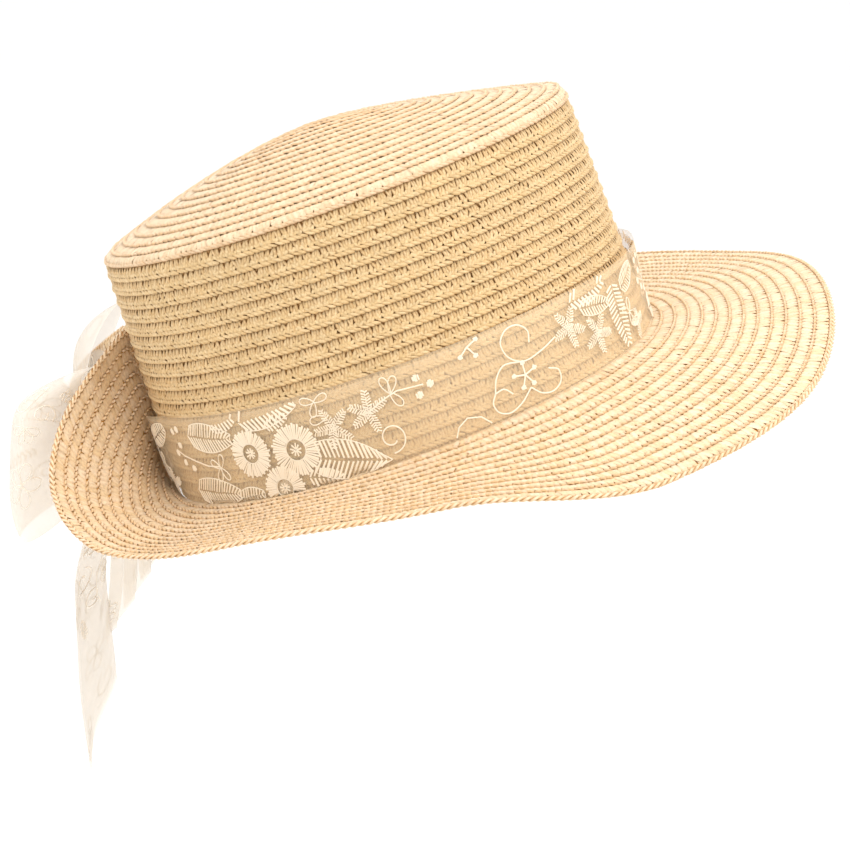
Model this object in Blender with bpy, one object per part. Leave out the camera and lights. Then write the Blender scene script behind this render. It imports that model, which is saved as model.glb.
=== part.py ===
"""Straw boater hat: sewn braid crown and brim, sheer ribbon band and a bow at the split back.

Row frame: +X is the hat's front, +Y the wearer's left, +Z up. The origin is the centre of the
head opening. The hat is tipped back about Y, as it is worn, and the bow's tails hang straight down.
"""
import math

import bmesh
import bpy
from mathutils import Matrix, Vector

# Straw walls and the small gap between separate pieces
STRAW = 0.002
GAP = 0.0003

# Crown: the head opening inside, the ridge outside, and the dome above the ridge
OPENING_LENGTH = 0.197
OPENING_WIDTH = 0.1675
RIDGE_LENGTH = 0.193
RIDGE_WIDTH = 0.1615
RIDGE_FORWARD = 0.002
CROWN_HEIGHT = 0.099
RIDGE_RADIUS = 0.005
DOME_RISE = 0.0185
DOME_POWER = 1.5
DOME_LEAN_SHARE = 0.13

# How far the worn hat is tipped back
TIP_BACK = math.radians(20.1)

# Brim: its width at the front, its doubled edge row, and how soon the side twist starts across it
BRIM_WIDTH = 0.070
EDGE_ROW = 0.006
EDGE_PROUD = 0.0006
TWIST_POWER = 0.7

# Sections of the brim, by the angle round the crown from the front.
# Slopes are degrees above level at the crown and at the edge. Twist is rise for each metre to the left.
BRIM_COLUMNS = ("angle", "width_share", "root_slope", "edge_slope", "twist")
BRIM_SECTIONS = (
    (0, 1.00, -7, -7, 0.140),
    (30, 1.01, -10, -16, 0.140),
    (60, 0.90, -14, -5, 0.140),
    (90, 0.81, -5, 14, 0.070),
    (120, 0.865, 4, 14, 0.035),
    (140, 0.905, 1, 25, 0.045),
    (155, 0.915, 7, 56, 0.045),
    (168, 0.945, 43, 105, 0.020),
    (180, 1.01, 68, 116, 0.000),
)

# Ribbon: the width round the crown, the opened width in the bow, and the solid sheet
BAND_WIDTH = 0.032
RIBBON_WIDTH = 0.065
RIBBON = 0.0008
BAND_CLEARANCE = 0.0006
END_SPREAD = 0.0024
SPLIT_CLEARANCE = 0.0009

# Where the two ribbon ends leave the crown, and the band's height shares where they pass the split.
# Leave and turn shares are parts of the room between the crown and the turned-up brim.
LEAVE_ANGLE = math.radians(148)
CLOSE_ANGLE = math.radians(173)
LEAVE_SHARE = 0.75
TURN_SHARE = 0.45
END_LOW_SHARE = 0.36
END_HIGH_SHARE = 0.96

# Knot: full sizes front to back, side to side and bottom to top, its height above the opening,
# and its clearance behind the turned-up brim
KNOT_DEPTH = 0.015
KNOT_WIDTH = 0.018
KNOT_HEIGHT = 0.024
KNOT_RISE = 0.028
KNOT_CLEARANCE = 0.0009

# Loops of the bow. Reach, opens and leans are shares of the ribbon's width, lift is a share of the reach,
# and the asides are degrees from straight back, where the loop leaves the knot and where it points.
LOOP_COLUMNS = ("name", "side", "reach", "root_aside", "aside", "open_outer", "open_inner",
                "lift", "lean_outer", "lean_inner")
LOOPS = (
    ("bow_loop_near", -1, 0.60, 25, 46, 0.200, 0.080, 0.10, 0.03, 0.05),
    ("bow_loop_far", 1, 0.52, 26, 54, 0.100, 0.010, 0.42, 0.17, 0.14),
)

# Every loop: how far its edges fall short of its middle, its height and opening at the knot,
# how much of its opening it has there already, and how soon it spreads to the ribbon's width
LOOP_CROWN_SHARE = 0.16
LOOP_ROOT_HEIGHT = 0.015
LOOP_ROOT_OPEN = 0.0014
LOOP_ROOT_BELLY_SHARE = 0.55
LOOP_SPREAD_POWER = 0.35

# Tails of the bow: lengths below the knot along the longest and the shortest edge
LONG_TAIL = 0.129
LONG_TAIL_SHORT_EDGE = 0.092
SHORT_TAIL = 0.070
SHORT_TAIL_SHORT_EDGE = 0.040

# Sections of a tail. Every length is a share of the ribbon's width, and drop of the tail's length.
TAIL_SECTION_COLUMNS = ("drop", "back", "left", "half_back", "half_left", "fold")
LONG_TAIL_SECTIONS = (
    (0.00, 0.010, -0.055, 0.030, 0.045, 0.010),
    (0.15, 0.085, -0.105, 0.060, 0.120, 0.030),
    (0.35, 0.165, -0.140, 0.075, 0.200, 0.045),
    (0.65, 0.160, -0.150, 0.080, 0.240, 0.040),
    (1.00, 0.150, -0.150, 0.085, 0.250, 0.030),
)
SHORT_TAIL_SECTIONS = (
    (0.00, -0.020, 0.060, 0.025, 0.035, 0.008),
    (0.30, -0.060, 0.170, 0.080, 0.070, 0.030),
    (0.65, -0.070, 0.260, 0.125, 0.110, 0.040),
    (1.00, -0.050, 0.290, 0.150, 0.130, 0.035),
)
TAIL_WAVE_COUNT = 1.1

# Counts of the facets
ROUND_COUNT = 72
SIDE_RINGS = 3
RIDGE_RINGS = 3
DOME_RING_SHARES = (0.88, 0.68, 0.46, 0.26, 0.09)
BRIM_COUNT = 84
BRIM_ACROSS = 8
EDGE_ACROSS = 2
BAND_COUNT = 68
BAND_ACROSS = 4
KNOT_SEGMENTS = 18
KNOT_RINGS = 12
LOOP_ALONG = 24
LOOP_ACROSS = 6
TAIL_ALONG = 10
TAIL_ACROSS = 8

# How much closer the brim's sections stand at the back, and the steps that its profile is summed in
BACK_CROWDING_SHARE = 0.25
PROFILE_STEPS = 24
ROOM_STEPS = 120
FOOT_STEP = 0.0003

# Sizes that follow from the ones above
BASE_LENGTH = OPENING_LENGTH + 2 * STRAW
BASE_WIDTH = OPENING_WIDTH + 2 * STRAW
SPLIT_HALF = END_SPREAD / 2 + RIBBON + SPLIT_CLEARANCE
SPLIT_ANGLE = math.pi - math.asin(SPLIT_HALF / (BASE_WIDTH / 2))


def clear_scene():
    """Removes every object that a new file starts with."""
    for thing in list(bpy.data.objects):
        bpy.data.objects.remove(thing, do_unlink=True)


def principled(name, colour, roughness, alpha=1.0):
    """Plain material of one colour, for a material slot."""
    material = bpy.data.materials.new(name)
    material.use_nodes = True
    shader = material.node_tree.nodes["Principled BSDF"]
    shader.inputs["Base Color"].default_value = (*colour, 1.0)
    shader.inputs["Roughness"].default_value = roughness
    shader.inputs["Metallic"].default_value = 0.0
    shader.inputs["Alpha"].default_value = alpha
    return material


def read_table(columns, rows, column, place):
    """Smooth value of one column at a place along the first column, without overshoot."""
    places = [row[0] for row in rows]
    values = [row[columns.index(column)] for row in rows]
    steps = [places[i + 1] - places[i] for i in range(len(rows) - 1)]
    slopes = [(values[i + 1] - values[i]) / steps[i] for i in range(len(rows) - 1)]
    tangents = [0.0]
    for i in range(1, len(rows) - 1):
        before, after = slopes[i - 1], slopes[i]
        tangents.append(2 * before * after / (before + after) if before * after > 0 else 0.0)
    tangents.append(0.0)
    place = min(max(place, places[0]), places[-1])
    i = min(max(k for k in range(len(rows)) if places[k] <= place), len(rows) - 2)
    t = (place - places[i]) / steps[i]
    start = (1 + 2 * t) * (1 - t) ** 2 * values[i] + t * (1 - t) ** 2 * steps[i] * tangents[i]
    finish = t * t * (3 - 2 * t) * values[i + 1] + t * t * (t - 1) * steps[i] * tangents[i + 1]
    return start + finish


def smooth_step(value, low, high):
    """Share from 0 to 1 of the way from low to high, level at both ends."""
    t = min(max((value - low) / (high - low), 0.0), 1.0)
    return t * t * (3 - 2 * t)


def crown_outer(angle, height, out=0.0):
    """Point on the crown's outer side at a height, moved outwards by a distance."""
    share = height / CROWN_HEIGHT
    half_length = BASE_LENGTH / 2 + (RIDGE_LENGTH - BASE_LENGTH) / 2 * share
    half_width = BASE_WIDTH / 2 + (RIDGE_WIDTH - BASE_WIDTH) / 2 * share
    normal = Vector((math.cos(angle) / half_length, math.sin(angle) / half_width, 0)).normalized()
    middle = Vector((RIDGE_FORWARD * share, 0, height))
    return middle + Vector((half_length * math.cos(angle), half_width * math.sin(angle), 0)) + normal * out


def crown_rings():
    """Rings of points up the crown's side, round the ridge and over the dome."""
    angles = [2 * math.pi * i / ROUND_COUNT for i in range(ROUND_COUNT)]
    side_top = CROWN_HEIGHT - RIDGE_RADIUS
    rings = []
    for step in range(SIDE_RINGS + 1):
        height = GAP + (side_top - GAP) * step / SIDE_RINGS
        rings.append([crown_outer(a, height) for a in angles])
    for step in range(1, RIDGE_RINGS + 1):
        turn = math.pi / 2 * step / RIDGE_RINGS
        rise = RIDGE_RADIUS * math.sin(turn)
        inset = RIDGE_RADIUS * (1 - math.cos(turn))
        rings.append([crown_outer(a, side_top, -inset) + Vector((0, 0, rise)) for a in angles])
    rim = rings[-1]
    centre = Vector((RIDGE_FORWARD, 0, CROWN_HEIGHT))
    for share in DOME_RING_SHARES:
        ring = []
        for a, point in zip(angles, rim):
            rise = DOME_RISE * (1 - share ** DOME_POWER) * (1 - DOME_LEAN_SHARE * share * math.cos(a))
            ring.append(centre + (point - centre) * share + Vector((0, 0, rise)))
        rings.append(ring)
    return rings, centre + Vector((0, 0, DOME_RISE))


def brim_value(angle, column):
    """One column of the brim's sections, at an angle round the crown."""
    return read_table(BRIM_COLUMNS, BRIM_SECTIONS, column, abs(math.degrees(angle)))


def brim_width(angle):
    """Width of the brim along its upper face, at an angle round the crown."""
    return BRIM_WIDTH * brim_value(angle, "width_share")


def brim_profile(angle, along):
    """How far out of the crown and how high the brim's upper face is, at a distance along it."""
    root = brim_value(angle, "root_slope")
    edge = brim_value(angle, "edge_slope")
    width = brim_width(angle)
    step = along / PROFILE_STEPS
    out = GAP
    rise = 0.0
    for i in range(PROFILE_STEPS):
        slope = math.radians(root + (edge - root) * step * (i + 0.5) / width)
        out += step * math.cos(slope)
        rise += step * math.sin(slope)
    return out, rise


def brim_point(angle, along):
    """Point on the brim's upper face, at a distance along it from the crown."""
    out, rise = brim_profile(angle, along)
    point = crown_outer(angle, 0.0, out)
    lean = (along / brim_width(angle)) ** TWIST_POWER
    return point + Vector((0, 0, rise + brim_value(angle, "twist") * point.y * lean))


def brim_angles():
    """Angles round the brim from one side of the split to the other, closer at the back."""
    angles = []
    for i in range(BRIM_COUNT + 1):
        t = -1 + 2 * i / BRIM_COUNT
        angles.append(SPLIT_ANGLE * ((1 + BACK_CROWDING_SHARE) * t - BACK_CROWDING_SHARE * t ** 3))
    return angles


def make_object(name, points, faces, material, parent):
    """Smooth-shaded object of points and faces, in one material and under one parent."""
    mesh = bpy.data.meshes.new(name)
    mesh.from_pydata([tuple(p) for p in points], [], faces)
    mesh.update()
    mesh.shade_smooth()
    thing = bpy.data.objects.new(name, mesh)
    thing.data.materials.append(material)
    thing.parent = parent
    bpy.context.scene.collection.objects.link(thing)
    return thing


def grid_faces(rows, columns, closed):
    """Four-sided faces of a grid of points, closed or open along its rows."""
    faces = []
    for r in range(rows - 1):
        for c in range(columns if closed else columns - 1):
            after = (c + 1) % columns
            low, high = r * columns, (r + 1) * columns
            faces.append((low + c, low + after, high + after, high + c))
    return faces


def thicken(thing, thickness, offset, even=True):
    """Wall of a thickness on a surface: inside it at offset -1, outside at 1, half and half at 0."""
    solid = thing.modifiers.new("Wall", "SOLIDIFY")
    solid.thickness = thickness
    solid.offset = offset
    solid.use_even_offset = even
    solid.use_quality_normals = True


def sheet(name, rows, material, parent, thickness, offset, closed=False, even=True):
    """Sheet through rows of points, given a wall by a Solidify modifier."""
    columns = len(rows[0])
    points = [p for row in rows for p in row]
    thing = make_object(name, points, grid_faces(len(rows), columns, closed), material, parent)
    thicken(thing, thickness, offset, even)
    return thing


def make_crown(parent, straw):
    """Crown wall, open below: its side, its rounded ridge and its low dome."""
    rings, apex = crown_rings()
    points = [p for ring in rings for p in ring] + [apex]
    faces = grid_faces(len(rings), ROUND_COUNT, True)
    last = (len(rings) - 1) * ROUND_COUNT
    for c in range(ROUND_COUNT):
        faces.append((last + c, last + (c + 1) % ROUND_COUNT, len(points) - 1))
    crown = make_object("crown", points, faces, straw, parent)
    thicken(crown, STRAW, -1)
    return crown


def make_brim(parent, straw):
    """Brim wall from under the crown's wall out to the doubled edge row."""
    rows = []
    for angle in brim_angles():
        root = crown_outer(angle, 0.0, -STRAW)
        reach = brim_width(angle) - EDGE_ROW - GAP
        row = [root]
        for step in range(BRIM_ACROSS + 1):
            row.append(brim_point(angle, reach * step / BRIM_ACROSS))
        rows.append(row)
    return sheet("brim", rows, straw, parent, STRAW, -1)


def surface_normals(rows):
    """Normals of a grid of points, from its neighbours along both ways."""
    normals = []
    for r, row in enumerate(rows):
        before, after = rows[max(r - 1, 0)], rows[min(r + 1, len(rows) - 1)]
        line = []
        for c in range(len(row)):
            along = after[c] - before[c]
            across = row[min(c + 1, len(row) - 1)] - row[max(c - 1, 0)]
            line.append(across.cross(along).normalized())
        normals.append(line)
    return normals


def make_brim_edge(parent, straw):
    """Doubled row of braid along the outer edge, a little proud of the brim on both faces."""
    rows = []
    for angle in brim_angles():
        start = brim_width(angle) - EDGE_ROW
        rows.append([brim_point(angle, start + EDGE_ROW * step / EDGE_ACROSS)
                     for step in range(EDGE_ACROSS + 1)])
    lifted = []
    for row, normals in zip(rows, surface_normals(rows)):
        lifted.append([p + n * EDGE_PROUD for p, n in zip(row, normals)])
    return sheet("brim_edge", lifted, straw, parent, STRAW + 2 * EDGE_PROUD, -1)


def flap_room(angle, height):
    """Room between the crown and the turned-up brim at a height, or none where the brim lies flat."""
    width = brim_width(angle)
    for step in range(1, ROOM_STEPS + 1):
        point = brim_point(angle, width * step / ROOM_STEPS)
        if point.z >= height:
            foot = crown_outer(angle, height)
            return math.hypot(point.x - foot.x, point.y - foot.y)
    return 0.0


def band_low(angle):
    """Height of the band's lower edge, just clear of the brim's upper face."""
    reach = GAP + RIBBON + BAND_CLEARANCE
    height = 0.0
    along = FOOT_STEP
    while along < BAND_WIDTH and brim_profile(angle, along)[0] <= reach:
        height = max(height, brim_point(angle, along).z)
        along += FOOT_STEP
    return height + BAND_CLEARANCE


def band_column(angle, pull):
    """Points up the band at one angle, pulled away from the crown towards the turned-up brim."""
    low = band_low(angle)
    low = low + (END_LOW_SHARE * BAND_WIDTH - low) * pull * pull
    column = []
    for step in range(BAND_ACROSS + 1):
        height = low + (BAND_WIDTH - low) * step / BAND_ACROSS
        room = flap_room(angle, height) - GAP - RIBBON - BAND_CLEARANCE if pull > 0 else 0.0
        column.append(crown_outer(angle, height, GAP + LEAVE_SHARE * pull * max(room, 0.0)))
    return column


def split_columns(side):
    """Points up one ribbon end, where it turns into the split and where it reaches the knot."""
    low = END_LOW_SHARE * BAND_WIDTH
    high = END_HIGH_SHARE * BAND_WIDTH
    turn = []
    reach = []
    for step in range(BAND_ACROSS + 1):
        height = low + (high - low) * step / BAND_ACROSS
        room = flap_room(math.pi, height)
        turn.append(crown_outer(math.pi, height, TURN_SHARE * room) + Vector((0, side * END_SPREAD / 2, 0)))
        reach.append(Vector((knot_centre().x + KNOT_DEPTH / 2 + GAP + RIBBON, side * END_SPREAD / 2, height)))
    return turn, reach


def make_band(parent, ribbon):
    """Ribbon round the crown, with its two ends going back through the split to the knot."""
    rows = []
    for i in range(BAND_COUNT + 1):
        angle = CLOSE_ANGLE * (-1 + 2 * i / BAND_COUNT)
        pull = smooth_step(abs(angle), LEAVE_ANGLE, math.pi)
        rows.append(band_column(angle, pull))
    left_turn, left_reach = split_columns(1)
    right_turn, right_reach = split_columns(-1)
    rows = [right_reach, right_turn] + rows + [left_turn, left_reach]
    columns = [[row[c] for row in rows] for c in range(BAND_ACROSS + 1)]
    return sheet("band", columns, ribbon, parent, RIBBON, 1, closed=True, even=False)


def knot_centre():
    """Centre of the knot in the untipped hat, just behind the turned-up brim."""
    room = flap_room(math.pi, KNOT_RISE)
    back = crown_outer(math.pi, KNOT_RISE, room + STRAW)
    return Vector((back.x - KNOT_DEPTH / 2 - KNOT_CLEARANCE, 0, KNOT_RISE))


def tip_matrix():
    """Turn from the level hat to the hat as it is worn."""
    return Matrix.Rotation(-TIP_BACK, 4, "Y")


def knot_reach(direction):
    """Distance from the knot's centre to its face, along a direction in the row frame."""
    local = tip_matrix().inverted() @ direction.normalized()
    halves = (KNOT_DEPTH / 2, KNOT_WIDTH / 2, KNOT_HEIGHT / 2)
    return 1 / math.sqrt(sum((local[i] / halves[i]) ** 2 for i in range(3)))


def make_knot(parent, ribbon):
    """Wrapped knot: a closed oval form, taller than it is wide."""
    mesh = bpy.data.meshes.new("bow_knot")
    shape = bmesh.new()
    bmesh.ops.create_uvsphere(shape, u_segments=KNOT_SEGMENTS, v_segments=KNOT_RINGS, radius=0.5)
    bmesh.ops.scale(shape, vec=(KNOT_DEPTH, KNOT_WIDTH, KNOT_HEIGHT), verts=shape.verts)
    shape.to_mesh(mesh)
    shape.free()
    mesh.shade_smooth()
    knot = bpy.data.objects.new("bow_knot", mesh)
    knot.data.materials.append(ribbon)
    knot.location = knot_centre()
    knot.parent = parent
    bpy.context.scene.collection.objects.link(knot)
    return knot


def make_loop(row, parent, ribbon):
    """Loop of opened ribbon, out from the knot, round its end and back."""
    data = dict(zip(LOOP_COLUMNS, row))
    reach = data["reach"] * RIBBON_WIDTH
    aside = math.radians(data["aside"])
    root_aside = math.radians(data["root_aside"])
    axis = Vector((-math.cos(aside), data["side"] * math.sin(aside), 0))
    outward = Vector((-math.sin(aside), -data["side"] * math.cos(aside), 0))
    root_way = Vector((-math.cos(root_aside), data["side"] * math.sin(root_aside), 0))
    root = root_way * (knot_reach(root_way) + RIBBON / 2 + LOOP_ROOT_OPEN)
    rows = []
    for i in range(LOOP_ALONG + 1):
        turn = 2 * math.pi * i / LOOP_ALONG
        far = (1 - math.cos(turn)) / 2
        opened = data["open_outer"] if i * 2 <= LOOP_ALONG else data["open_inner"]
        belly = LOOP_ROOT_BELLY_SHARE + (1 - LOOP_ROOT_BELLY_SHARE) * far
        wide = opened * RIBBON_WIDTH * math.sin(turn) * belly + LOOP_ROOT_OPEN * math.cos(turn / 2)
        half = LOOP_ROOT_HEIGHT / 2 + (RIBBON_WIDTH - LOOP_ROOT_HEIGHT) / 2 * far ** LOOP_SPREAD_POWER
        lean = (data["lean_outer"] + data["lean_inner"]) / 2
        lean += (data["lean_outer"] - data["lean_inner"]) / 2 * math.sin(turn)
        line = []
        for j in range(LOOP_ACROSS + 1):
            w = -1 + 2 * j / LOOP_ACROSS
            crowned = 1 - LOOP_CROWN_SHARE * w * w * far
            point = root + axis * reach * far * crowned + outward * wide * crowned
            point += Vector((lean * RIBBON_WIDTH * w * far, 0, data["lift"] * reach * far + half * w))
            line.append(point)
        rows.append(line)
    return sheet(data["name"], rows, ribbon, parent, RIBBON, 0, even=False)


def make_tail(name, longest, shortest, sections, parent, ribbon):
    """Hanging end of the ribbon, gathered at the knot and cut on the slant."""
    rows = []
    top = knot_reach(Vector((0, 0, -1))) + RIBBON
    for i in range(TAIL_ALONG + 1):
        share = i / TAIL_ALONG
        line = []
        for j in range(TAIL_ACROSS + 1):
            u = -1 + 2 * j / TAIL_ACROSS
            length = (longest + shortest) / 2 - (longest - shortest) / 2 * u
            drop = share * length
            place = drop / longest
            back, left, half_back, half_left, fold = (
                RIBBON_WIDTH * read_table(TAIL_SECTION_COLUMNS, sections, column, place)
                for column in TAIL_SECTION_COLUMNS[1:])
            x = -back + half_back * u + fold * math.sin(TAIL_WAVE_COUNT * 2 * math.pi * u)
            y = left + half_left * u
            line.append(Vector((x, y, -top - drop)))
        rows.append(line)
    return sheet(name, rows, ribbon, parent, RIBBON, 0, even=False)


def main():
    """Builds the straw, band and knot in the tipped hat's frame, and the bow from the knot."""
    clear_scene()
    straw = principled("paper_straw_braid", (0.80, 0.60, 0.34), 0.75)
    sheer = principled("sheer_ribbon", (0.86, 0.76, 0.64), 0.6, 0.8)
    hat = bpy.data.objects.new("hat_frame", None)
    hat.rotation_euler = tip_matrix().to_euler()
    bow = bpy.data.objects.new("bow_frame", None)
    bow.location = tip_matrix() @ knot_centre()
    for empty in (hat, bow):
        bpy.context.scene.collection.objects.link(empty)
    make_crown(hat, straw)
    make_brim(hat, straw)
    make_brim_edge(hat, straw)
    make_band(hat, sheer)
    make_knot(hat, sheer)
    for row in LOOPS:
        make_loop(row, bow, sheer)
    make_tail("bow_tail_long", LONG_TAIL, LONG_TAIL_SHORT_EDGE, LONG_TAIL_SECTIONS, bow, sheer)
    make_tail("bow_tail_short", SHORT_TAIL, SHORT_TAIL_SHORT_EDGE, SHORT_TAIL_SECTIONS, bow, sheer)


main()
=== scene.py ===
"""Looks of the straw boater hat: sewn paper-straw braid and an embroidered organza ribbon.

Everything is in metres in the CAD's row frame: +X is the hat's front, +Y the wearer's left, +Z up.
The braid is laid in the untipped hat's own frame and then tipped back with it.
"""

import logging
import math
from dataclasses import dataclass, field, replace
from enum import Enum

import bpy
import numpy as np
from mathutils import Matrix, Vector


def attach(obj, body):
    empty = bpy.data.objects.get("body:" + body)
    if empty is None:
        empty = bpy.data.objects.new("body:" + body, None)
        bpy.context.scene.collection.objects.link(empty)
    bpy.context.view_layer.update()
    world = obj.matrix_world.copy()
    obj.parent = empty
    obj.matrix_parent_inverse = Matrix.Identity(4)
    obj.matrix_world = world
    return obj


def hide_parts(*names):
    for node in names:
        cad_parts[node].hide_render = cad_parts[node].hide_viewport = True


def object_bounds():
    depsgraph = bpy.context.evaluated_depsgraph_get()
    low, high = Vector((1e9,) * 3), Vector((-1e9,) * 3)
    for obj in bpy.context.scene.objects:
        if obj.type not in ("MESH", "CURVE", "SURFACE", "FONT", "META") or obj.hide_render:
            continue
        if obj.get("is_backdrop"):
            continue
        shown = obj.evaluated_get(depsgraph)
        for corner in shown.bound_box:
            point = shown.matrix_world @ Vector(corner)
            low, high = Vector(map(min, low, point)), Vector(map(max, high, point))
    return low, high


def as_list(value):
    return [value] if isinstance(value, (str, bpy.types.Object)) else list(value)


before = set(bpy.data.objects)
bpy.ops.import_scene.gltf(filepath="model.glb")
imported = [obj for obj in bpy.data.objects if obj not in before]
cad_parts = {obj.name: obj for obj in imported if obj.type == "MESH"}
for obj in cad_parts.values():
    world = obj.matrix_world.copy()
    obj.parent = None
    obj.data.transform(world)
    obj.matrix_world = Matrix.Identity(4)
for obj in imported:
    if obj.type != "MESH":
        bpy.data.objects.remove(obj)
CAD_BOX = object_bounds()

MM = 0.001
BODY = "root"
TIP_BACK = math.radians(20.1)
TURN = 2 * math.pi
# Small steps that a wall's slopes are measured over: an angle, and a share of a row
ANGLE_STEP, ROW_STEP = 0.004, 0.12
# Fibres are drawn out this much along a strand
FIBRE_STRETCH = 0.15
Tree, Socket = bpy.types.NodeTree, bpy.types.NodeSocket
log = logging.getLogger("hat")


class Face(Enum):
    """Which face of the straw wall a strand lies on."""

    OUTER = "outer"
    INNER = "inner"


def linear(code: str) -> tuple[float, float, float, float]:
    """Turn an sRGB hex colour into linear light.

    Args:
        code: six hex digits, red first.

    Returns:
        Red, green, blue and alpha, as Blender's sockets take them.
    """
    parts = [int(code[i:i + 2], 16) / 255 for i in (0, 2, 4)]
    return (*(c / 12.92 if c <= 0.04045 else ((c + 0.055) / 1.055) ** 2.4 for c in parts), 1.0)


def add_node(tree: Tree, kind: str, links: dict | None = None, out: int | str = 0, **settings) -> Socket:
    """Add one shader node with its settings and its incoming links.

    Args:
        tree: the node tree.
        kind: the node's type name, less its ShaderNode.
        links: input name or index to the output socket that feeds it, or to a plain value.
        out: which of the node's outputs is used.
        **settings: attributes set on the node itself.

    Returns:
        That output, or None from the material's output node.
    """
    node = tree.nodes.new("ShaderNode" + kind)
    for key, value in settings.items():
        setattr(node, key, value)
    for key, value in (links or {}).items():
        if isinstance(value, Socket):
            tree.links.new(value, node.inputs[key])
        else:
            node.inputs[key].default_value = value
    return node.outputs[out] if len(node.outputs) else None


def point_value(tree: Tree, name: str) -> Socket:
    """Read a number that the mesh keeps for each point."""
    return add_node(tree, "Attribute", out="Fac", attribute_name=name)


def noise(tree: Tree, where: Socket, grain: float, detail: float = 2.0) -> Socket:
    """Draw soft noise with grains of a size in metres."""
    return add_node(tree, "TexNoise", {"Vector": where, "Scale": 1 / grain, "Detail": detail})


def blend(tree: Tree, share: Socket, low: str, high: str | Socket) -> Socket:
    """Blend from a low colour to a high one."""
    high = linear(high) if isinstance(high, str) else high
    return add_node(tree, "Mix", {0: share, 6: linear(low), 7: high}, out=2, data_type="RGBA")


def fitted(tree: Tree, value: Socket, *limits: float) -> Socket:
    """Map one range to another: the first's start and end, then the second's."""
    return add_node(tree, "MapRange", {0: value, **dict(enumerate(limits, 1))})


def reckon(tree: Tree, operation: str, *values: Socket | float, **settings) -> Socket:
    """Work one number out from others."""
    return add_node(tree, "Math", dict(enumerate(values)), operation=operation, **settings)


def bumped(tree: Tree, height: Socket, strength: float, distance: float) -> Socket:
    """Turn a height into a bumped normal."""
    return add_node(tree, "Bump", {"Height": height, "Strength": strength, "Distance": distance})


@dataclass(frozen=True)
class Finish:
    """A named finish. Each kind draws its own nodes."""

    name: str

    def draw(self, tree: Tree) -> dict:
        """Add the finish's own nodes to a tree, and return the surface shader's inputs."""
        raise NotImplementedError

    def material(self) -> bpy.types.Material:
        """Make the finish's material."""
        material = bpy.data.materials.new(self.name)
        material.use_nodes = True
        tree = material.node_tree
        tree.nodes.clear()
        add_node(tree, "OutputMaterial", {"Surface": add_node(tree, "BsdfPrincipled", self.draw(tree))})
        return material


@dataclass(frozen=True)
class BraidStraw(Finish):
    """Paper straw: flat strips of matt paper, twisted and plaited by machine, with a faint sheen.

    Mottle and blotch are ranges of their noise, and the shares of the colour's brightness that they give.
    """

    light: str
    middle: str
    # Colour of the painted shade in creases and tucked ends
    crease_shade: str
    grain_mm: float = 0.35
    mottle_mm: float = 0.9
    mottle: tuple = (0.34, 0.56, 0.84, 1.0)
    blotch_mm: float = 9.0
    blotch: tuple = (0.3, 0.7, 0.95, 1.04)
    roughness: float = 0.6
    sheen: float = 0.12

    def draw(self, tree: Tree) -> dict:
        """Draw the straw, coloured by each strand's own tone, with painted shade in its creases.

        Args:
            tree: the material's node tree.

        Returns:
            The surface shader's inputs.
        """
        # Strips differ a little from one another, as dyed paper does along a reel
        strip = blend(tree, point_value(tree, "tone"), self.middle, self.light)
        # Painted shade: creases and tucked ends are drawn in a deeper tan, for the shade that falls there
        with_crease_shade = blend(tree, point_value(tree, "crest"), self.crease_shade, strip)
        place = add_node(tree, "TexCoord", out="Object")
        blotch = fitted(tree, noise(tree, place, self.blotch_mm * MM, 3.0), *self.blotch)
        # Fine plaiting inside each strand
        speck = fitted(tree, noise(tree, place, self.mottle_mm * MM), *self.mottle)
        # The painted crease shade, times the straw's own blotches and plaiting mottle
        shade_and_mottle = add_node(tree, "VectorMath", {0: with_crease_shade, 1: reckon(tree, "MULTIPLY", blotch, speck)},
                        operation="MULTIPLY")
        # Paper fibres and twist lines run along each strand
        grain = noise(tree, add_node(tree, "UVMap", uv_map="strand"), self.grain_mm * MM)
        return {"Base Color": shade_and_mottle, "Roughness": self.roughness, "IOR": 1.5,
                "Normal": bumped(tree, grain, 0.3, 0.1 * MM), "Sheen Weight": self.sheen,
                "Sheen Roughness": 0.5}


@dataclass(frozen=True)
class BraidGround(Finish):
    """The braid's middle layer, painted with the shade seen between its strands and a warm glow of light
    through them.
    """

    # Colours of the painted shade and of the painted glow of light through the wall
    shade: str
    glow: str
    patch_mm: float = 3.0
    patch: tuple = (0.4, 0.65)

    def draw(self, tree: Tree) -> dict:
        """Draw the middle layer's painted shade, matt with small patches of painted glow.

        Args:
            tree: the material's node tree.

        Returns:
            The surface shader's inputs.
        """
        patches = noise(tree, add_node(tree, "TexCoord", out="Object"), self.patch_mm * MM)
        colour = blend(tree, fitted(tree, patches, *self.patch), self.shade, self.glow)
        return {"Base Color": colour, "Roughness": 0.9, "IOR": 1.5}


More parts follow.
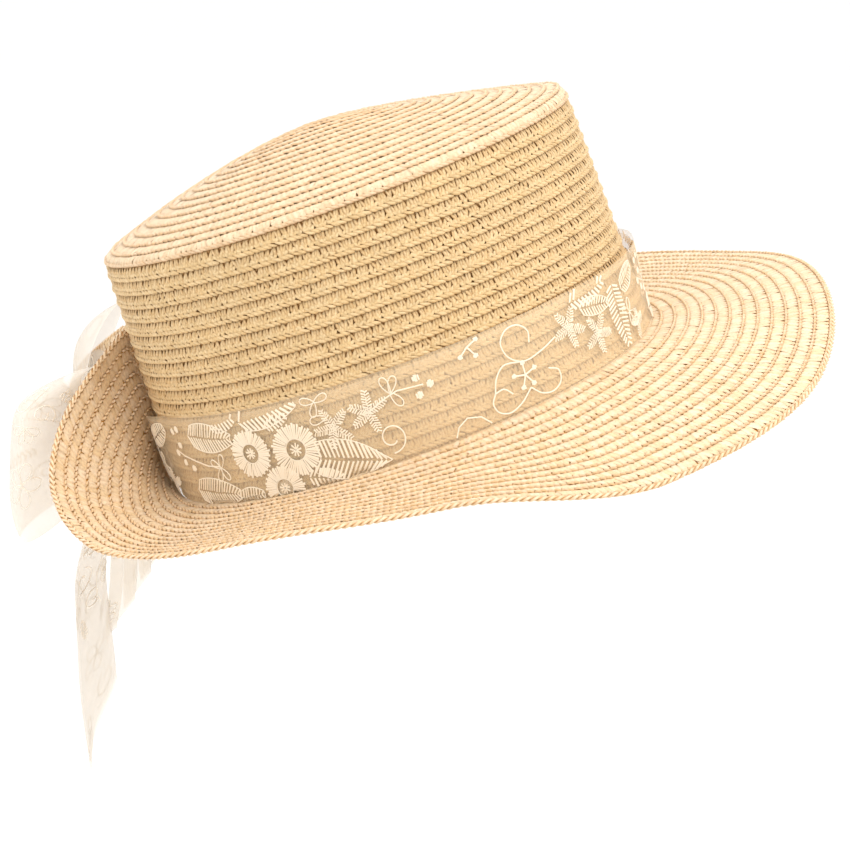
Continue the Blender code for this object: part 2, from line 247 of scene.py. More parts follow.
@dataclass(frozen=True)
class Organza(Finish):
    """Embroidered organza's ground: a sheer plain weave of fine twisted yarn, crisp and slightly shiny.

    The weave is drawn at 0.45 mm, coarser than the real 0.2 mm, so that some of it shows. Cover is how much
    the sheet hides, and the weave, the clouds and the woven edges add their shares to it.
    """

    name: str = "organza"
    cream: str = "F2DDBA"
    cover: float = 0.22
    yarn_mm: float = 0.45
    weave_share: float = 0.03
    cloud_share: float = 0.12
    edge_share: float = 0.12
    cloud_mm: float = 6.25
    roughness: float = 0.45

    def draw(self, tree: Tree) -> dict:
        """Draw a part-clear cream sheet, denser at its woven edges.

        Args:
            tree: the material's node tree.

        Returns:
            The surface shader's inputs.
        """
        cloth = add_node(tree, "UVMap", uv_map="strand")
        turns = 2 * math.pi / (self.yarn_mm * MM)
        parts = [add_node(tree, "SeparateXYZ", {0: cloth}, out=axis) for axis in (0, 1)]
        waves = [reckon(tree, "SINE", reckon(tree, "MULTIPLY", part, turns)) for part in parts]
        weave = reckon(tree, "MAXIMUM", *waves)
        drawn = reckon(tree, "MULTIPLY_ADD", weave, self.weave_share, self.cover - self.cloud_share / 2)
        cloud = noise(tree, cloth, self.cloud_mm * MM, 3.0)
        clouded = reckon(tree, "MULTIPLY_ADD", cloud, self.cloud_share, drawn)
        cover = reckon(tree, "MULTIPLY_ADD", point_value(tree, "crest"), self.edge_share, clouded,
                       use_clamp=True)
        return {"Base Color": linear(self.cream), "Roughness": self.roughness, "IOR": 1.45, "Alpha": cover,
                "Normal": bumped(tree, weave, 0.2, 0.05 * MM), "Sheen Weight": 0.2, "Sheen Roughness": 0.4}


@dataclass(frozen=True)
class RayonThread(Finish):
    """Rayon embroidery thread: smooth bright filaments laid side by side, cream with a soft gloss."""

    name: str = "rayon_thread"
    cream: str = "FAEFDC"
    # Colour of the painted shade at the sides of a stitch
    shade: str = "EBD5B2"
    filament_mm: float = 0.3
    roughness: float = 0.48

    def draw(self, tree: Tree) -> dict:
        """Draw the thread, lightest on the crest of each stitch, with painted shade to its sides.

        Args:
            tree: the material's node tree.

        Returns:
            The surface shader's inputs.
        """
        colour = blend(tree, point_value(tree, "crest"), self.shade, self.cream)
        grain = noise(tree, add_node(tree, "UVMap", uv_map="strand"), self.filament_mm * MM)
        return {"Base Color": colour, "Roughness": self.roughness, "IOR": 1.53,
                "Normal": bumped(tree, grain, 0.3, 0.05 * MM), "Sheen Weight": 0.2}


@dataclass(frozen=True)
class PaintedFloor(Finish):
    """Matt white studio floor."""

    name: str = "matt_white_floor"
    white: str = "F7F6F4"

    def draw(self, tree: Tree) -> dict:
        """Give the surface shader's inputs, which need no nodes of their own."""
        return {"Base Color": linear(self.white), "Roughness": 0.9}


@dataclass
class MeshStock:
    """Points and four-sided faces gathered for one piece, with each point's tone, crest and strand place."""

    points: list = field(default_factory=list)
    faces: list = field(default_factory=list)
    tones: list = field(default_factory=list)
    crests: list = field(default_factory=list)
    places: list = field(default_factory=list)
    count: int = 0

    def add_grids(self, points: np.ndarray, tone: np.ndarray, crest: np.ndarray, place: np.ndarray,
                  closed: bool = False) -> None:
        """Add many small grids of points at once.

        Args:
            points: array of grids, stations, sides and 3.
            tone: one tone for each grid, or one for each point.
            crest: how far each point is from a crease, for each grid, station and side.
            place: metres along and across the strand, with a last axis of 2.
            closed: whether the last side joins the first.
        """
        grids, stations, sides = points.shape[:3]
        index = np.arange(stations * sides).reshape(stations, sides)
        after = np.roll(index, -1, axis=1) if closed else index[:, 1:]
        before = index if closed else index[:, :-1]
        quad = np.stack([before[:-1], after[:-1], after[1:], before[1:]], axis=-1).reshape(-1, 4)
        start = self.count + np.arange(grids)[:, None, None] * stations * sides
        self.faces.append((start + quad[None]).reshape(-1, 4))
        self.points.append(points.reshape(-1, 3))
        tone = tone.reshape(grids, 1, 1) if tone.ndim == 1 else tone
        self.tones.append(np.broadcast_to(tone, points.shape[:3]).reshape(-1))
        self.crests.append(np.broadcast_to(crest, points.shape[:3]).reshape(-1))
        self.places.append(np.broadcast_to(place, (*points.shape[:3], 2)).reshape(-1, 2))
        self.count += grids * stations * sides

    def piece(self, name: str, material: bpy.types.Material) -> bpy.types.Object:
        """Turn what was gathered into one smooth mesh object.

        Args:
            name: the piece's name.
            material: its finish.

        Returns:
            The new object, linked to the scene.
        """
        points = np.concatenate(self.points)
        faces = np.concatenate(self.faces)
        mesh = bpy.data.meshes.new(name)
        mesh.vertices.add(len(points))
        mesh.vertices.foreach_set("co", points.astype(np.float32).ravel())
        mesh.loops.add(faces.size)
        mesh.loops.foreach_set("vertex_index", faces.astype(np.int32).ravel())
        mesh.polygons.add(len(faces))
        mesh.polygons.foreach_set("loop_start", np.arange(0, faces.size, 4, dtype=np.int32))
        mesh.update(calc_edges=True)
        for label, values in (("tone", self.tones), ("crest", self.crests)):
            attribute = mesh.attributes.new(label, "FLOAT", "POINT")
            attribute.data.foreach_set("value", np.concatenate(values).astype(np.float32))
        places = np.concatenate(self.places)[faces.ravel()]
        mesh.uv_layers.new(name="strand").data.foreach_set("uv", places.astype(np.float32).ravel())
        mesh.shade_smooth()
        mesh.validate()
        thing = bpy.data.objects.new(name, mesh)
        mesh.materials.append(material)
        bpy.context.scene.collection.objects.link(thing)
        return thing


def cubic(t: np.ndarray, step: np.ndarray, values: np.ndarray, slopes: np.ndarray,
          i: np.ndarray) -> np.ndarray:
    """Blend by a cubic curve between neighbouring values.

    Args:
        t: shares of the way from one value to the next.
        step: distances between the two.
        values: the values.
        slopes: the slopes there.
        i: which value each place comes after.

    Returns:
        The blended values.
    """
    start = (1 + 2 * t) * (1 - t) ** 2 * values[i] + t * (1 - t) ** 2 * step * slopes[i]
    return start + t * t * (3 - 2 * t) * values[i + 1] + t * t * (t - 1) * step * slopes[i + 1]


def read_table(rows: tuple, column: int, place: np.ndarray) -> np.ndarray:
    """Smooth values of a table's column along its first column, without overshoot.

    Args:
        rows: the table's rows, sorted by their first value.
        column: which column to read.
        place: places along the first column.

    Returns:
        The column's values at those places.
    """
    table = np.array(rows, float)
    at, values = table[:, 0], table[:, column]
    steps = np.diff(at)
    slopes = np.diff(values) / steps
    product = slopes[:-1] * slopes[1:]
    total = np.where(product > 0, slopes[:-1] + slopes[1:], 1.0)
    tangents = np.concatenate([[0.0], np.where(product > 0, 2 * product / total, 0.0), [0.0]])
    place = np.clip(place, at[0], at[-1])
    i = np.clip(np.searchsorted(at, place, side="right") - 1, 0, len(at) - 2)
    return cubic((place - at[i]) / steps[i], steps[i], values, tangents, i)


def end_fade(stations: int) -> np.ndarray:
    """How far each station of a strand or stitch is from its two ends, from about a third to 1."""
    return np.sin(np.linspace(0.12, 0.88, stations) * math.pi)[None, :, None]


def smooth_step(value: np.ndarray, low: float, high: float) -> np.ndarray:
    """Ease from 0 at low to 1 at high."""
    t = np.clip((value - low) / (high - low), 0, 1)
    return t * t * (3 - 2 * t)


def unit(vectors: np.ndarray) -> np.ndarray:
    """Scale vectors along the last axis to a length of one."""
    return vectors / np.maximum(np.linalg.norm(vectors, axis=-1, keepdims=True), 1e-12)


def tipped(points: np.ndarray) -> np.ndarray:
    """Turn points from the untipped hat's frame into the row frame."""
    c, s = math.cos(TIP_BACK), math.sin(TIP_BACK)
    x, y, z = points[..., 0], points[..., 1], points[..., 2]
    return np.stack([x * c - z * s, y, x * s + z * c], axis=-1)


# Sections of the brim, by the angle round the crown from the front, as in the CAD:
# angle, share of the brim's width, slopes in degrees at the crown and at the edge, and twist
BRIM_SECTIONS = (
    (0, 1.00, -7, -7, 0.140),
    (30, 1.01, -10, -16, 0.140),
    (60, 0.90, -14, -5, 0.140),
    (90, 0.81, -5, 14, 0.070),
    (120, 0.865, 4, 14, 0.035),
    (140, 0.905, 1, 25, 0.045),
    (155, 0.915, 7, 56, 0.045),
    (168, 0.945, 43, 105, 0.020),
    (180, 1.01, 68, 116, 0.000),
)


@dataclass(frozen=True)
class HatForm:
    """The hat's main form, with the CAD's own sizes. Points come in the untipped hat's frame."""

    straw: float = 2 * MM
    gap: float = 0.3 * MM
    opening_length: float = 197 * MM
    opening_width: float = 167.5 * MM
    ridge_length: float = 193 * MM
    ridge_width: float = 161.5 * MM
    ridge_forward: float = 2 * MM
    crown_height: float = 99 * MM
    ridge_radius: float = 5 * MM
    dome_rise: float = 18.5 * MM
    dome_power: float = 1.5
    dome_lean: float = 0.13
    brim_width: float = 70 * MM
    edge_row: float = 6 * MM
    twist_power: float = 0.7
    split_half: float = 2.9 * MM
    corner_radius: float = 7 * MM
    corner_arm: float = 115 * MM
    flap_forward: float = 5 * MM
    flap_belly: float = 4.5 * MM
    flap_from: tuple = (148, 176)
    flap_reach: tuple = (0.1, 0.6)

    @property
    def base_half(self) -> tuple[float, float]:
        """Half length and half width of the crown's outer face at the opening."""
        return self.opening_length / 2 + self.straw, self.opening_width / 2 + self.straw

    @property
    def split_angle(self) -> float:
        """Angle from the front to the side of the brim's split."""
        return math.pi - math.asin(self.split_half / self.base_half[1])

    @property
    def top_reach(self) -> float:
        """Distance from the middle of the top to where the ridge starts to turn down."""
        return self.ridge_width / 2 - self.ridge_radius

    @property
    def ridge_turn(self) -> float:
        """Length of the rounded ridge."""
        return self.ridge_radius * math.pi / 2

    @property
    def profile(self) -> float:
        """Distance from the middle of the top, over the ridge and down to the opening."""
        return self.top_reach + self.ridge_turn + self.crown_height - self.ridge_radius

    def halves(self, height: np.ndarray) -> tuple[np.ndarray, np.ndarray, np.ndarray]:
        """Half axes of the crown's outer face at a height, and how far forward its middle is."""
        share = height / self.crown_height
        long, wide = self.base_half
        return (long + (self.ridge_length / 2 - long) * share, wide + (self.ridge_width / 2 - wide) * share,
                self.ridge_forward * share)

    def side_point(self, angle: np.ndarray, height: np.ndarray, out: np.ndarray) -> np.ndarray:
        """Point off the crown's side, moved straight out from it by a distance."""
        long, wide, forward = self.halves(height)
        normal = unit(np.stack([np.cos(angle) / long, np.sin(angle) / wide], axis=-1))
        return np.stack([long * np.cos(angle) + forward + normal[..., 0] * out,
                         wide * np.sin(angle) + normal[..., 1] * out, height + 0 * angle], axis=-1)

    def crown_point(self, angle: np.ndarray, reach: np.ndarray) -> np.ndarray:
        """Point on the crown's outer face.

        Args:
            angle: angle round the crown from the front.
            reach: distance from the middle of the top, over the ridge and down the side.

        Returns:
            Points in the untipped hat's frame.
        """
        side_top = self.crown_height - self.ridge_radius
        turn = np.clip((reach - self.top_reach) / self.ridge_radius, 0, math.pi / 2)
        drop = np.maximum(reach - self.top_reach - self.ridge_turn, 0)
        inset = self.ridge_radius * (1 - np.sin(turn)) + np.maximum(self.top_reach - reach, 0)
        height = side_top + self.ridge_radius * np.cos(turn) - drop
        long, wide, forward = self.halves(np.minimum(height, side_top))
        x, y = (long - inset) * np.cos(angle), (wide - inset) * np.sin(angle)
        rim_long, rim_wide, _ = self.halves(np.array(side_top))
        share = np.hypot(x / (rim_long - self.ridge_radius), y / (rim_wide - self.ridge_radius))
        lean = 1 - self.dome_lean * np.minimum(share, 1) * x / np.maximum(np.hypot(x, y), 1e-9)
        dome = self.dome_rise * (1 - np.minimum(share, 1) ** self.dome_power) * lean
        height = height + np.where(reach < self.top_reach, dome, 0)
        return np.stack([x + forward, y, height], axis=-1)

    def brim_reach(self, angle: np.ndarray) -> np.ndarray:
        """Width of the brim at an angle, less what is rounded off the split's corners."""
        past = np.clip((self.split_angle - np.abs(angle)) * self.corner_arm, 0, self.corner_radius)
        cut = self.corner_radius - np.sqrt(self.corner_radius ** 2 - (self.corner_radius - past) ** 2)
        return self.brim_width * read_table(BRIM_SECTIONS, 1, np.abs(np.degrees(angle))) - cut

    def brim_point(self, angle: np.ndarray, along: np.ndarray) -> np.ndarray:
        """Point on the brim's upper face.

        Args:
            angle: angle round the crown from the front.
            along: distance along the face from the crown.

        Returns:
            Points in the untipped hat's frame.
        """
        place = np.abs(np.degrees(angle))
        share, root, edge, twist = (read_table(BRIM_SECTIONS, c, place) for c in range(1, 5))
        width = self.brim_width * share
        root, edge = np.radians(root), np.radians(edge)
        half_bend = (edge - root) * along / width / 2
        chord = along * np.sinc(half_bend / math.pi)
        out = self.gap + chord * np.cos(root + half_bend)
        rise = chord * np.sin(root + half_bend)
        point = self.side_point(angle, np.zeros_like(angle), out)
        lean = np.maximum(along, 0) / width
        # The turned-up back leans towards the crown and bellies out halfway up
        forward = self.flap_forward * smooth_step(lean, *self.flap_reach)
        forward = forward + self.flap_belly * np.sin(math.pi * lean) ** 2
        point[..., 0] += smooth_step(place, *self.flap_from) * np.where(along > 0, forward, 0)
        point[..., 2] += rise + twist * point[..., 1] * lean ** self.twist_power
        return point


@dataclass(frozen=True)
class CrownRows:
    """Rows of braid sewn as one spiral from the middle of the top down to the opening."""

    form: HatForm
    row: float = 5.5 * MM
    first_angle: float = -math.pi
    last_angle: float = math.pi
    overrun: float = 1.2 * MM
    core: float = 1.5 * MM
    start: float = 0.25 * MM

    def point(self, angle: np.ndarray, rows: np.ndarray) -> np.ndarray:
        """Point on the wall's outer face, so many rows from the short line that the spiral starts from."""
        spiral = (angle - self.first_angle) / (self.last_angle - self.first_angle)
        reach = (rows + spiral) * self.row
        # The first turn draws in to that line without ever reaching it, so that it keeps a slope
        scale = self.core + self.start
        drawn_in = scale * np.exp(np.minimum(reach - self.core, 0) / scale) - self.start
        reach = np.where(reach > self.core, np.minimum(reach, self.form.profile + self.overrun), drawn_in)
        return self.form.crown_point(angle, reach)

    def pitch(self, angle: np.ndarray) -> np.ndarray:
        """Width of a row that shows, at an angle."""
        return np.full_like(angle, self.row)


@dataclass(frozen=True)
class SplitRows:
    """Rows of braid that start and end at the brim's split."""

    form: HatForm

    @property
    def first_angle(self) -> float:
        """Angle at the right side of the split."""
        return -self.form.split_angle

    @property
    def last_angle(self) -> float:
        """Angle at the left side of the split."""
        return self.form.split_angle


@dataclass(frozen=True)
class BrimRows(SplitRows):
    """Rows of braid from the crown to the doubled edge row, a little narrower where the brim is."""

    rows_across: int = 12

    def pitch(self, angle: np.ndarray) -> np.ndarray:
        """Width of a row that shows, at an angle."""
        return (self.form.brim_reach(angle) - self.form.edge_row) / self.rows_across

    def point(self, angle: np.ndarray, rows: np.ndarray) -> np.ndarray:
        """Point on the brim's upper face, so many rows from the crown."""
        return self.form.brim_point(angle, np.maximum(rows * self.pitch(angle), -self.form.straw))


@dataclass(frozen=True)
class EdgeRows(SplitRows):
    """The doubled row along the brim's outer edge."""

    def pitch(self, angle: np.ndarray) -> np.ndarray:
        """Width of the doubled row."""
        return np.full_like(angle, self.form.edge_row)

    def point(self, angle: np.ndarray, rows: np.ndarray) -> np.ndarray:
        """Point on the brim's upper face, so many edge rows from the doubled row's inner side."""
        start = self.form.brim_reach(angle) - self.form.edge_row
        return self.form.brim_point(angle, start + rows * self.form.edge_row)


@dataclass(frozen=True, kw_only=True)
class Strand:
    """One strand of a braid cell, given by a few stations along it, all in millimetres except across.

    Across is a share of the row, 0 at its tucked side and 1 at its lip. Half is half the width, and crown
    the height at each of its sides. Shift is a share of a cell, and depth how strongly the painted shade
    darkens the strand's sides and ends.
    """

    along: tuple
    across: tuple
    lift: tuple
    half: tuple
    crown: tuple
    sides: tuple = (-1, 0, 1)
    shift: float = 0.0
    depth: float = 1.0


@dataclass(frozen=True)
class BraidStyle:
    """The strands that one braid cell has on the wall's two faces, and how uneven they are."""

    outer: tuple
    inner: tuple
    tilt_mm: float


# A rounder strand's four sides
ROUND_SIDES = (-1, -0.45, 0.45, 1)

# Open braid of the crown's side: near-upright strands over crossing ones, sunk under the lip of the row
# above, and their own lip of slanting strands
OPEN_UPRIGHT = Strand(along=(-0.22, -0.12, 0.04, 0.22), across=(-0.16, 0.06, 0.26, 0.56),
                      lift=(-1.75, -1.10, -0.58, -0.72), half=(0.40, 0.54, 0.66, 0.60),
                      crown=(0.0, 0.30, 0.0))
OPEN_CROSSING = Strand(along=(0.55, 0.25, -0.10, -0.45), across=(-0.12, 0.08, 0.34, 0.72),
                       lift=(-1.75, -1.20, -0.68, -0.52), half=(0.38, 0.52, 0.80, 0.95),
                       crown=(0.0, 0.20, 0.0), shift=0.5, depth=0.7)
OPEN_STITCH = Strand(along=(-0.80, 0.0, 0.80), across=(0.40, 0.55, 0.70), lift=(-0.74, -0.40, -0.56),
                     half=(0.38, 0.66, 0.42), crown=(0.0, 0.18, 0.0), shift=0.25, depth=0.42)
OPEN_BACKSTITCH = replace(OPEN_STITCH, along=(0.80, 0.0, -0.80), across=(0.42, 0.57, 0.72),
                          lift=(-0.76, -0.44, -0.58), half=(0.38, 0.64, 0.42), shift=0.75)
OPEN_LIP = Strand(along=(-1.9, -0.95, 0.0, 0.95, 1.9), across=(0.69, 0.78, 0.85, 0.91, 0.96),
                  lift=(-0.66, -0.14, 0.06, 0.0, -0.40), half=(0.36, 0.62, 0.72, 0.66, 0.40),
                  sides=ROUND_SIDES, crown=(-0.34, 0.20, 0.20, -0.46), depth=0.55)

# Close braid of the top and the brim: flat crossing strands, and a narrow raised cord
TOP_CORD = Strand(along=(-2.1, -1.05, 0.0, 1.05, 2.1), across=(0.67, 0.73, 0.79, 0.85, 0.91),
                  lift=(-0.75, -0.22, -0.06, -0.22, -0.75), half=(0.28, 0.62, 0.72, 0.62, 0.28),
                  sides=ROUND_SIDES, crown=(-0.34, 0.28, 0.28, -0.34), depth=0.9)
CLOSE_STRAND = Strand(along=(-0.75, -0.25, 0.25, 0.75), across=(-0.10, 0.14, 0.42, 0.70),
                      lift=(-0.85, -0.50, -0.44, -0.50), half=(0.85, 1.05, 1.05, 0.90),
                      crown=(-0.02, 0.06, -0.02), depth=0.38)
CLOSE_CROSSING = replace(CLOSE_STRAND, along=(0.75, 0.25, -0.25, -0.75),
                         lift=(-0.90, -0.53, -0.47, -0.53), shift=0.5)
CLOSE_CORD = Strand(along=(-1.25, -0.65, 0.0, 0.65, 1.25), across=(0.76, 0.80, 0.83, 0.86, 0.90),
                    lift=(-0.80, -0.20, -0.02, -0.20, -0.80), half=(0.30, 0.48, 0.54, 0.48, 0.30),
                    sides=ROUND_SIDES, crown=(-0.50, 0.30, 0.30, -0.50), depth=0.9)
UNDER_CORD = Strand(along=(-1.3, -0.45, 0.45, 1.3), across=(0.76, 0.81, 0.85, 0.90),
                    lift=(-0.80, -0.08, -0.08, -0.80), half=(0.30, 0.54, 0.54, 0.30),
                    crown=(-0.50, 0.30, -0.50), depth=0.9)

# Lining side of the crown, which only shows from below
LINING_STRAND = Strand(along=(-0.4, 0.0, 0.4), across=(-0.12, 0.30, 0.70), lift=(-0.90, -0.50, -0.60),
                       half=(1.00, 1.15, 0.90), crown=(0.0, 0.35, 0.0))
LINING_LIP = Strand(along=(-1.5, 0.0, 1.5), across=(0.70, 0.84, 0.95), lift=(-0.90, -0.15, -0.90),
                    half=(0.25, 0.65, 0.25), crown=(-0.20, 0.50, -0.20))

OPEN_BRAID = BraidStyle((OPEN_UPRIGHT, OPEN_CROSSING, OPEN_STITCH, OPEN_BACKSTITCH, OPEN_LIP),
                        (LINING_STRAND, LINING_LIP), tilt_mm=1.1)
TOP_BRAID = BraidStyle((CLOSE_STRAND, CLOSE_CROSSING, TOP_CORD), (LINING_STRAND, LINING_LIP), tilt_mm=0.15)
BRIM_BRAID = BraidStyle((CLOSE_STRAND, CLOSE_CROSSING, CLOSE_CORD), (CLOSE_STRAND, UNDER_CORD),
                        tilt_mm=0.15)


@dataclass(frozen=True)
class BraidLayer:
    """Lays braid cells along the rows of a wall."""

    cell: float = 2.4 * MM
    wobble: float = 0.22 * MM
    width_spread: float = 0.10
    lift_spread: float = 0.06 * MM
    stations: int = 721
    fewest_cells: int = 4

    def row_places(self, rows: object, row: float) -> tuple[np.ndarray, np.ndarray, int, float]:
        """Measure one row.

        Args:
            rows: the wall's rows.
            row: which row, at its middle.

        Returns:
            Distances along the row, their angles, how many cells fit and the row's length.
        """
        angles = np.linspace(rows.first_angle, rows.last_angle, self.stations)
        line = rows.point(angles, np.full_like(angles, row))
        steps = np.linalg.norm(np.diff(line, axis=0), axis=1)
        along = np.concatenate([[0], np.cumsum(steps)])
        cells = max(int(round(along[-1] / self.cell)), self.fewest_cells)
        return along, angles, cells, float(along[-1])

    def lay(self, stock: MeshStock, rows: object, strand: Strand, row: int, face: Face, tilt: float,
            seed: int) -> None:
        """Lay one kind of strand along one row.

        Args:
            stock: what the strands are added to.
            rows: the wall's rows.
            strand: the strand's stations.
            row: which row; its lip is one row further out.
            face: the wall's outer or inner face.
            tilt: how far a strand's two ends lean apart along the row, in metres.
            seed: seed for the small differences between strands.
        """
        along, angles, count, length = self.row_places(rows, row + 0.5)
        rng = np.random.default_rng(seed)
        jitter = np.clip(rng.normal(0, 1, (4, count, 1, 1)), -2, 2)
        ds, across, lift, half = (np.array(values)[None, :, None] for values in
                                  (strand.along, strand.across, strand.lift, strand.half))
        ds, lift, half = ds * MM, lift * MM, half * MM * (1 + self.width_spread * jitter[1])
        sides = np.array(strand.sides)[None, None, :]
        crown = np.array(strand.crown)[None, None, :] * MM
        mean_pitch = float(np.mean(rows.pitch(angles)))
        run = np.gradient(np.array(strand.along) * MM)
        fall = np.gradient(np.array(strand.across) * mean_pitch)
        size = np.hypot(run, fall)
        side_s, side_w = (-fall / size)[None, :, None], (run / size / mean_pitch)[None, :, None]
        centre = ((np.arange(count) + 0.5 + strand.shift) * length / count)[:, None, None]
        lean = jitter[2] * tilt * (across - np.mean(strand.across))
        s = centre + ds + lean + jitter[0] * self.wobble + side_s * half * sides
        w = across + side_w * half * sides
        h = lift + crown + jitter[3] * self.lift_spread
        if face is Face.INNER:
            w, h = 1 - w, -rows.form.straw - h
        within = np.clip(s, 0, length)
        s = within if rows.last_angle < math.pi else s
        # Past the back of the crown the spiral runs on into the next row
        angle = np.interp(within, along, angles) + (s - within) * TURN / length
        point, normal = surface(rows, angle, row + w)
        middle = 1 - np.abs(sides)
        # Painted shade: a strand is drawn lightest along its middle and darker to its sides and its tucked
        # ends, where shade falls
        crest = np.clip(0.30 + 0.9 * middle, 0, 1) * (0.35 + 0.65 * end_fade(len(strand.along)))
        crest = 1 - strand.depth * (1 - crest)
        place = np.stack(np.broadcast_arrays(s * FIBRE_STRETCH, w * mean_pitch), axis=-1)
        stock.add_grids(tipped(point + normal * h[..., None]), rng.random(count), crest + 0 * s, place)


def surface(rows: object, angle: np.ndarray, place: np.ndarray) -> tuple[np.ndarray, np.ndarray]:
    """Points on a wall's outer face and its normals there.

    Args:
        rows: the wall's rows.
        angle: angles round the crown.
        place: how many rows out, with its fraction.

    Returns:
        Points and normals in the untipped hat's frame.
    """
    angle, place = np.broadcast_arrays(angle, place)
    turned = rows.point(angle + ANGLE_STEP, place) - rows.point(angle - ANGLE_STEP, place)
    outward = rows.point(angle, place + ROW_STEP) - rows.point(angle, place - ROW_STEP)
    return rows.point(angle, place), unit(np.cross(outward, turned))


@dataclass
class StrawPart:
    """A straw wall dressed in braid: its name, rows and the CAD node that it stands for."""

    name: str
    node: str
    rows: object
    style: BraidStyle
    first_row: int
    last_row: int
    seed: int
    middle_depth: float = 1.0 * MM
    middle_stations: int = 241
    layer: BraidLayer = field(default_factory=BraidLayer)

    def build(self, straw: bpy.types.Material, ground: bpy.types.Material) -> list:
        """Build the braid and its middle layer.

        Args:
            straw: finish of the strands.
            ground: finish of the middle layer, painted shade and glow.

        Returns:
            The new pieces.
        """
        stock = MeshStock()
        faces = ((Face.OUTER, self.style.outer), (Face.INNER, self.style.inner))
        kinds = [(strand, face) for face, strands in faces for strand in strands]
        for row in range(self.first_row, self.last_row):
            for number, (strand, face) in enumerate(kinds):
                seed = self.seed + 97 * row + number
                self.layer.lay(stock, self.rows, strand, row, face, self.style.tilt_mm * MM, seed)
        braid = stock.piece(self.name, straw)
        middle = self.middle_layer(ground)
        for thing in (braid, middle):
            dress(thing, self.node)
        return [braid, middle]

    def middle_layer(self, ground: bpy.types.Material) -> bpy.types.Object:
        """Build the sheet inside the braid that closes the view between its strands."""
        angles = np.linspace(self.rows.first_angle, self.rows.last_angle, self.middle_stations)
        places = np.linspace(self.first_row, self.last_row, (self.last_row - self.first_row) * 2 + 2)
        angle, place = np.meshgrid(angles, places, indexing="ij")
        point, normal = surface(self.rows, angle, place)
        stock = MeshStock()
        where = np.stack([angle, place], axis=-1)
        points = tipped(point - normal * self.middle_depth)
        stock.add_grids(points[None], np.zeros(1), np.zeros((1, *angle.shape)), where[None])
        return stock.piece(self.name + "_middle", ground)


def dress(thing: bpy.types.Object, node: str) -> None:
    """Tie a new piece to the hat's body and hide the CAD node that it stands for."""
    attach(thing, BODY)
    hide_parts(node)


@dataclass(frozen=True)
class Rope:
    """Two-ply twisted straw cord along a path."""

    ply_radius: float = 0.54 * MM
    offset: float = 0.44 * MM
    turn: float = 5.6 * MM
    steps_a_turn: int = 8
    sides: int = 6

    def lay(self, stock: MeshStock, path: np.ndarray, normals: np.ndarray) -> None:
        """Lay both plies along a path.

        Args:
            stock: what the plies are added to.
            path: points along the cord's middle.
            normals: directions off the wall at those points.
        """
        along = np.concatenate([[0], np.cumsum(np.linalg.norm(np.diff(path, axis=0), axis=1))])
        s = np.linspace(0, along[-1], max(int(along[-1] / self.turn * self.steps_a_turn), 8) + 1)
        centre = np.stack([np.interp(s, along, path[:, k]) for k in range(3)], axis=-1)
        up = np.stack([np.interp(s, along, normals[:, k]) for k in range(3)], axis=-1)
        ahead = unit(np.gradient(centre, axis=0))
        side = unit(np.cross(ahead, up))
        up = np.cross(side, ahead)
        round_ply = np.arange(self.sides) / self.sides * TURN
        for ply in range(2):
            twist = (TURN * s / self.turn + math.pi * ply)[:, None]
            arm = np.cos(twist) * side + np.sin(twist) * up
            middle = centre + arm * self.offset
            way = unit(np.gradient(middle, axis=0))
            arm = unit(arm - np.sum(arm * way, axis=-1, keepdims=True) * way)
            other = np.cross(way, arm)
            ring = (arm[:, None] * np.cos(round_ply)[None, :, None] +
                    other[:, None] * np.sin(round_ply)[None, :, None])
            # Painted shade: each ply is drawn darker on its side that turns in towards the other ply
            crest = np.broadcast_to(0.5 + 0.5 * np.cos(round_ply), (1, len(s), self.sides))
            tone = (0.5 + 0.35 * np.sin(s / (3.1 * MM)) * np.cos(s / (7.3 * MM)))[None, :, None]
            place = np.stack(np.broadcast_arrays(s[:, None] * FIBRE_STRETCH, round_ply[None] * MM), axis=-1)
            points = middle[:, None] + ring * self.ply_radius
            stock.add_grids(points[None], tone, crest, place[None], closed=True)


@dataclass
class EdgeCord:
    """Cord sewn round the brim's outer edge and down both sides of the split."""

    form: HatForm
    rope: Rope = field(default_factory=Rope)
    inset: float = 0.5 * MM
    first_along: float = 1.5 * MM
    split_inset: float = 0.002
    side_steps: int = 60
    edge_steps: int = 900

    def build(self, straw: bpy.types.Material) -> bpy.types.Object:
        """Build the cord in one piece, from the crown out, round the edge and back in."""
        rows = BrimRows(self.form)
        turn = self.form.split_angle - self.split_inset
        steps = self.side_steps
        out = np.linspace(self.first_along, self.form.brim_reach(np.array(turn)) - self.inset, steps)
        sweep = np.linspace(-turn, turn, self.edge_steps)[1:-1]
        angle = np.concatenate([np.full(steps, -turn), sweep, np.full(steps, turn)])
        along = np.concatenate([out, self.form.brim_reach(sweep) - self.inset, out[::-1]])
        point, normal = surface(rows, angle, along / rows.pitch(angle))
        stock = MeshStock()
        self.rope.lay(stock, tipped(point - normal * self.form.straw / 2), tipped(normal))
        cord = stock.piece("brim_edge_cord", straw)
        dress(cord, "brim_edge")
        return cord


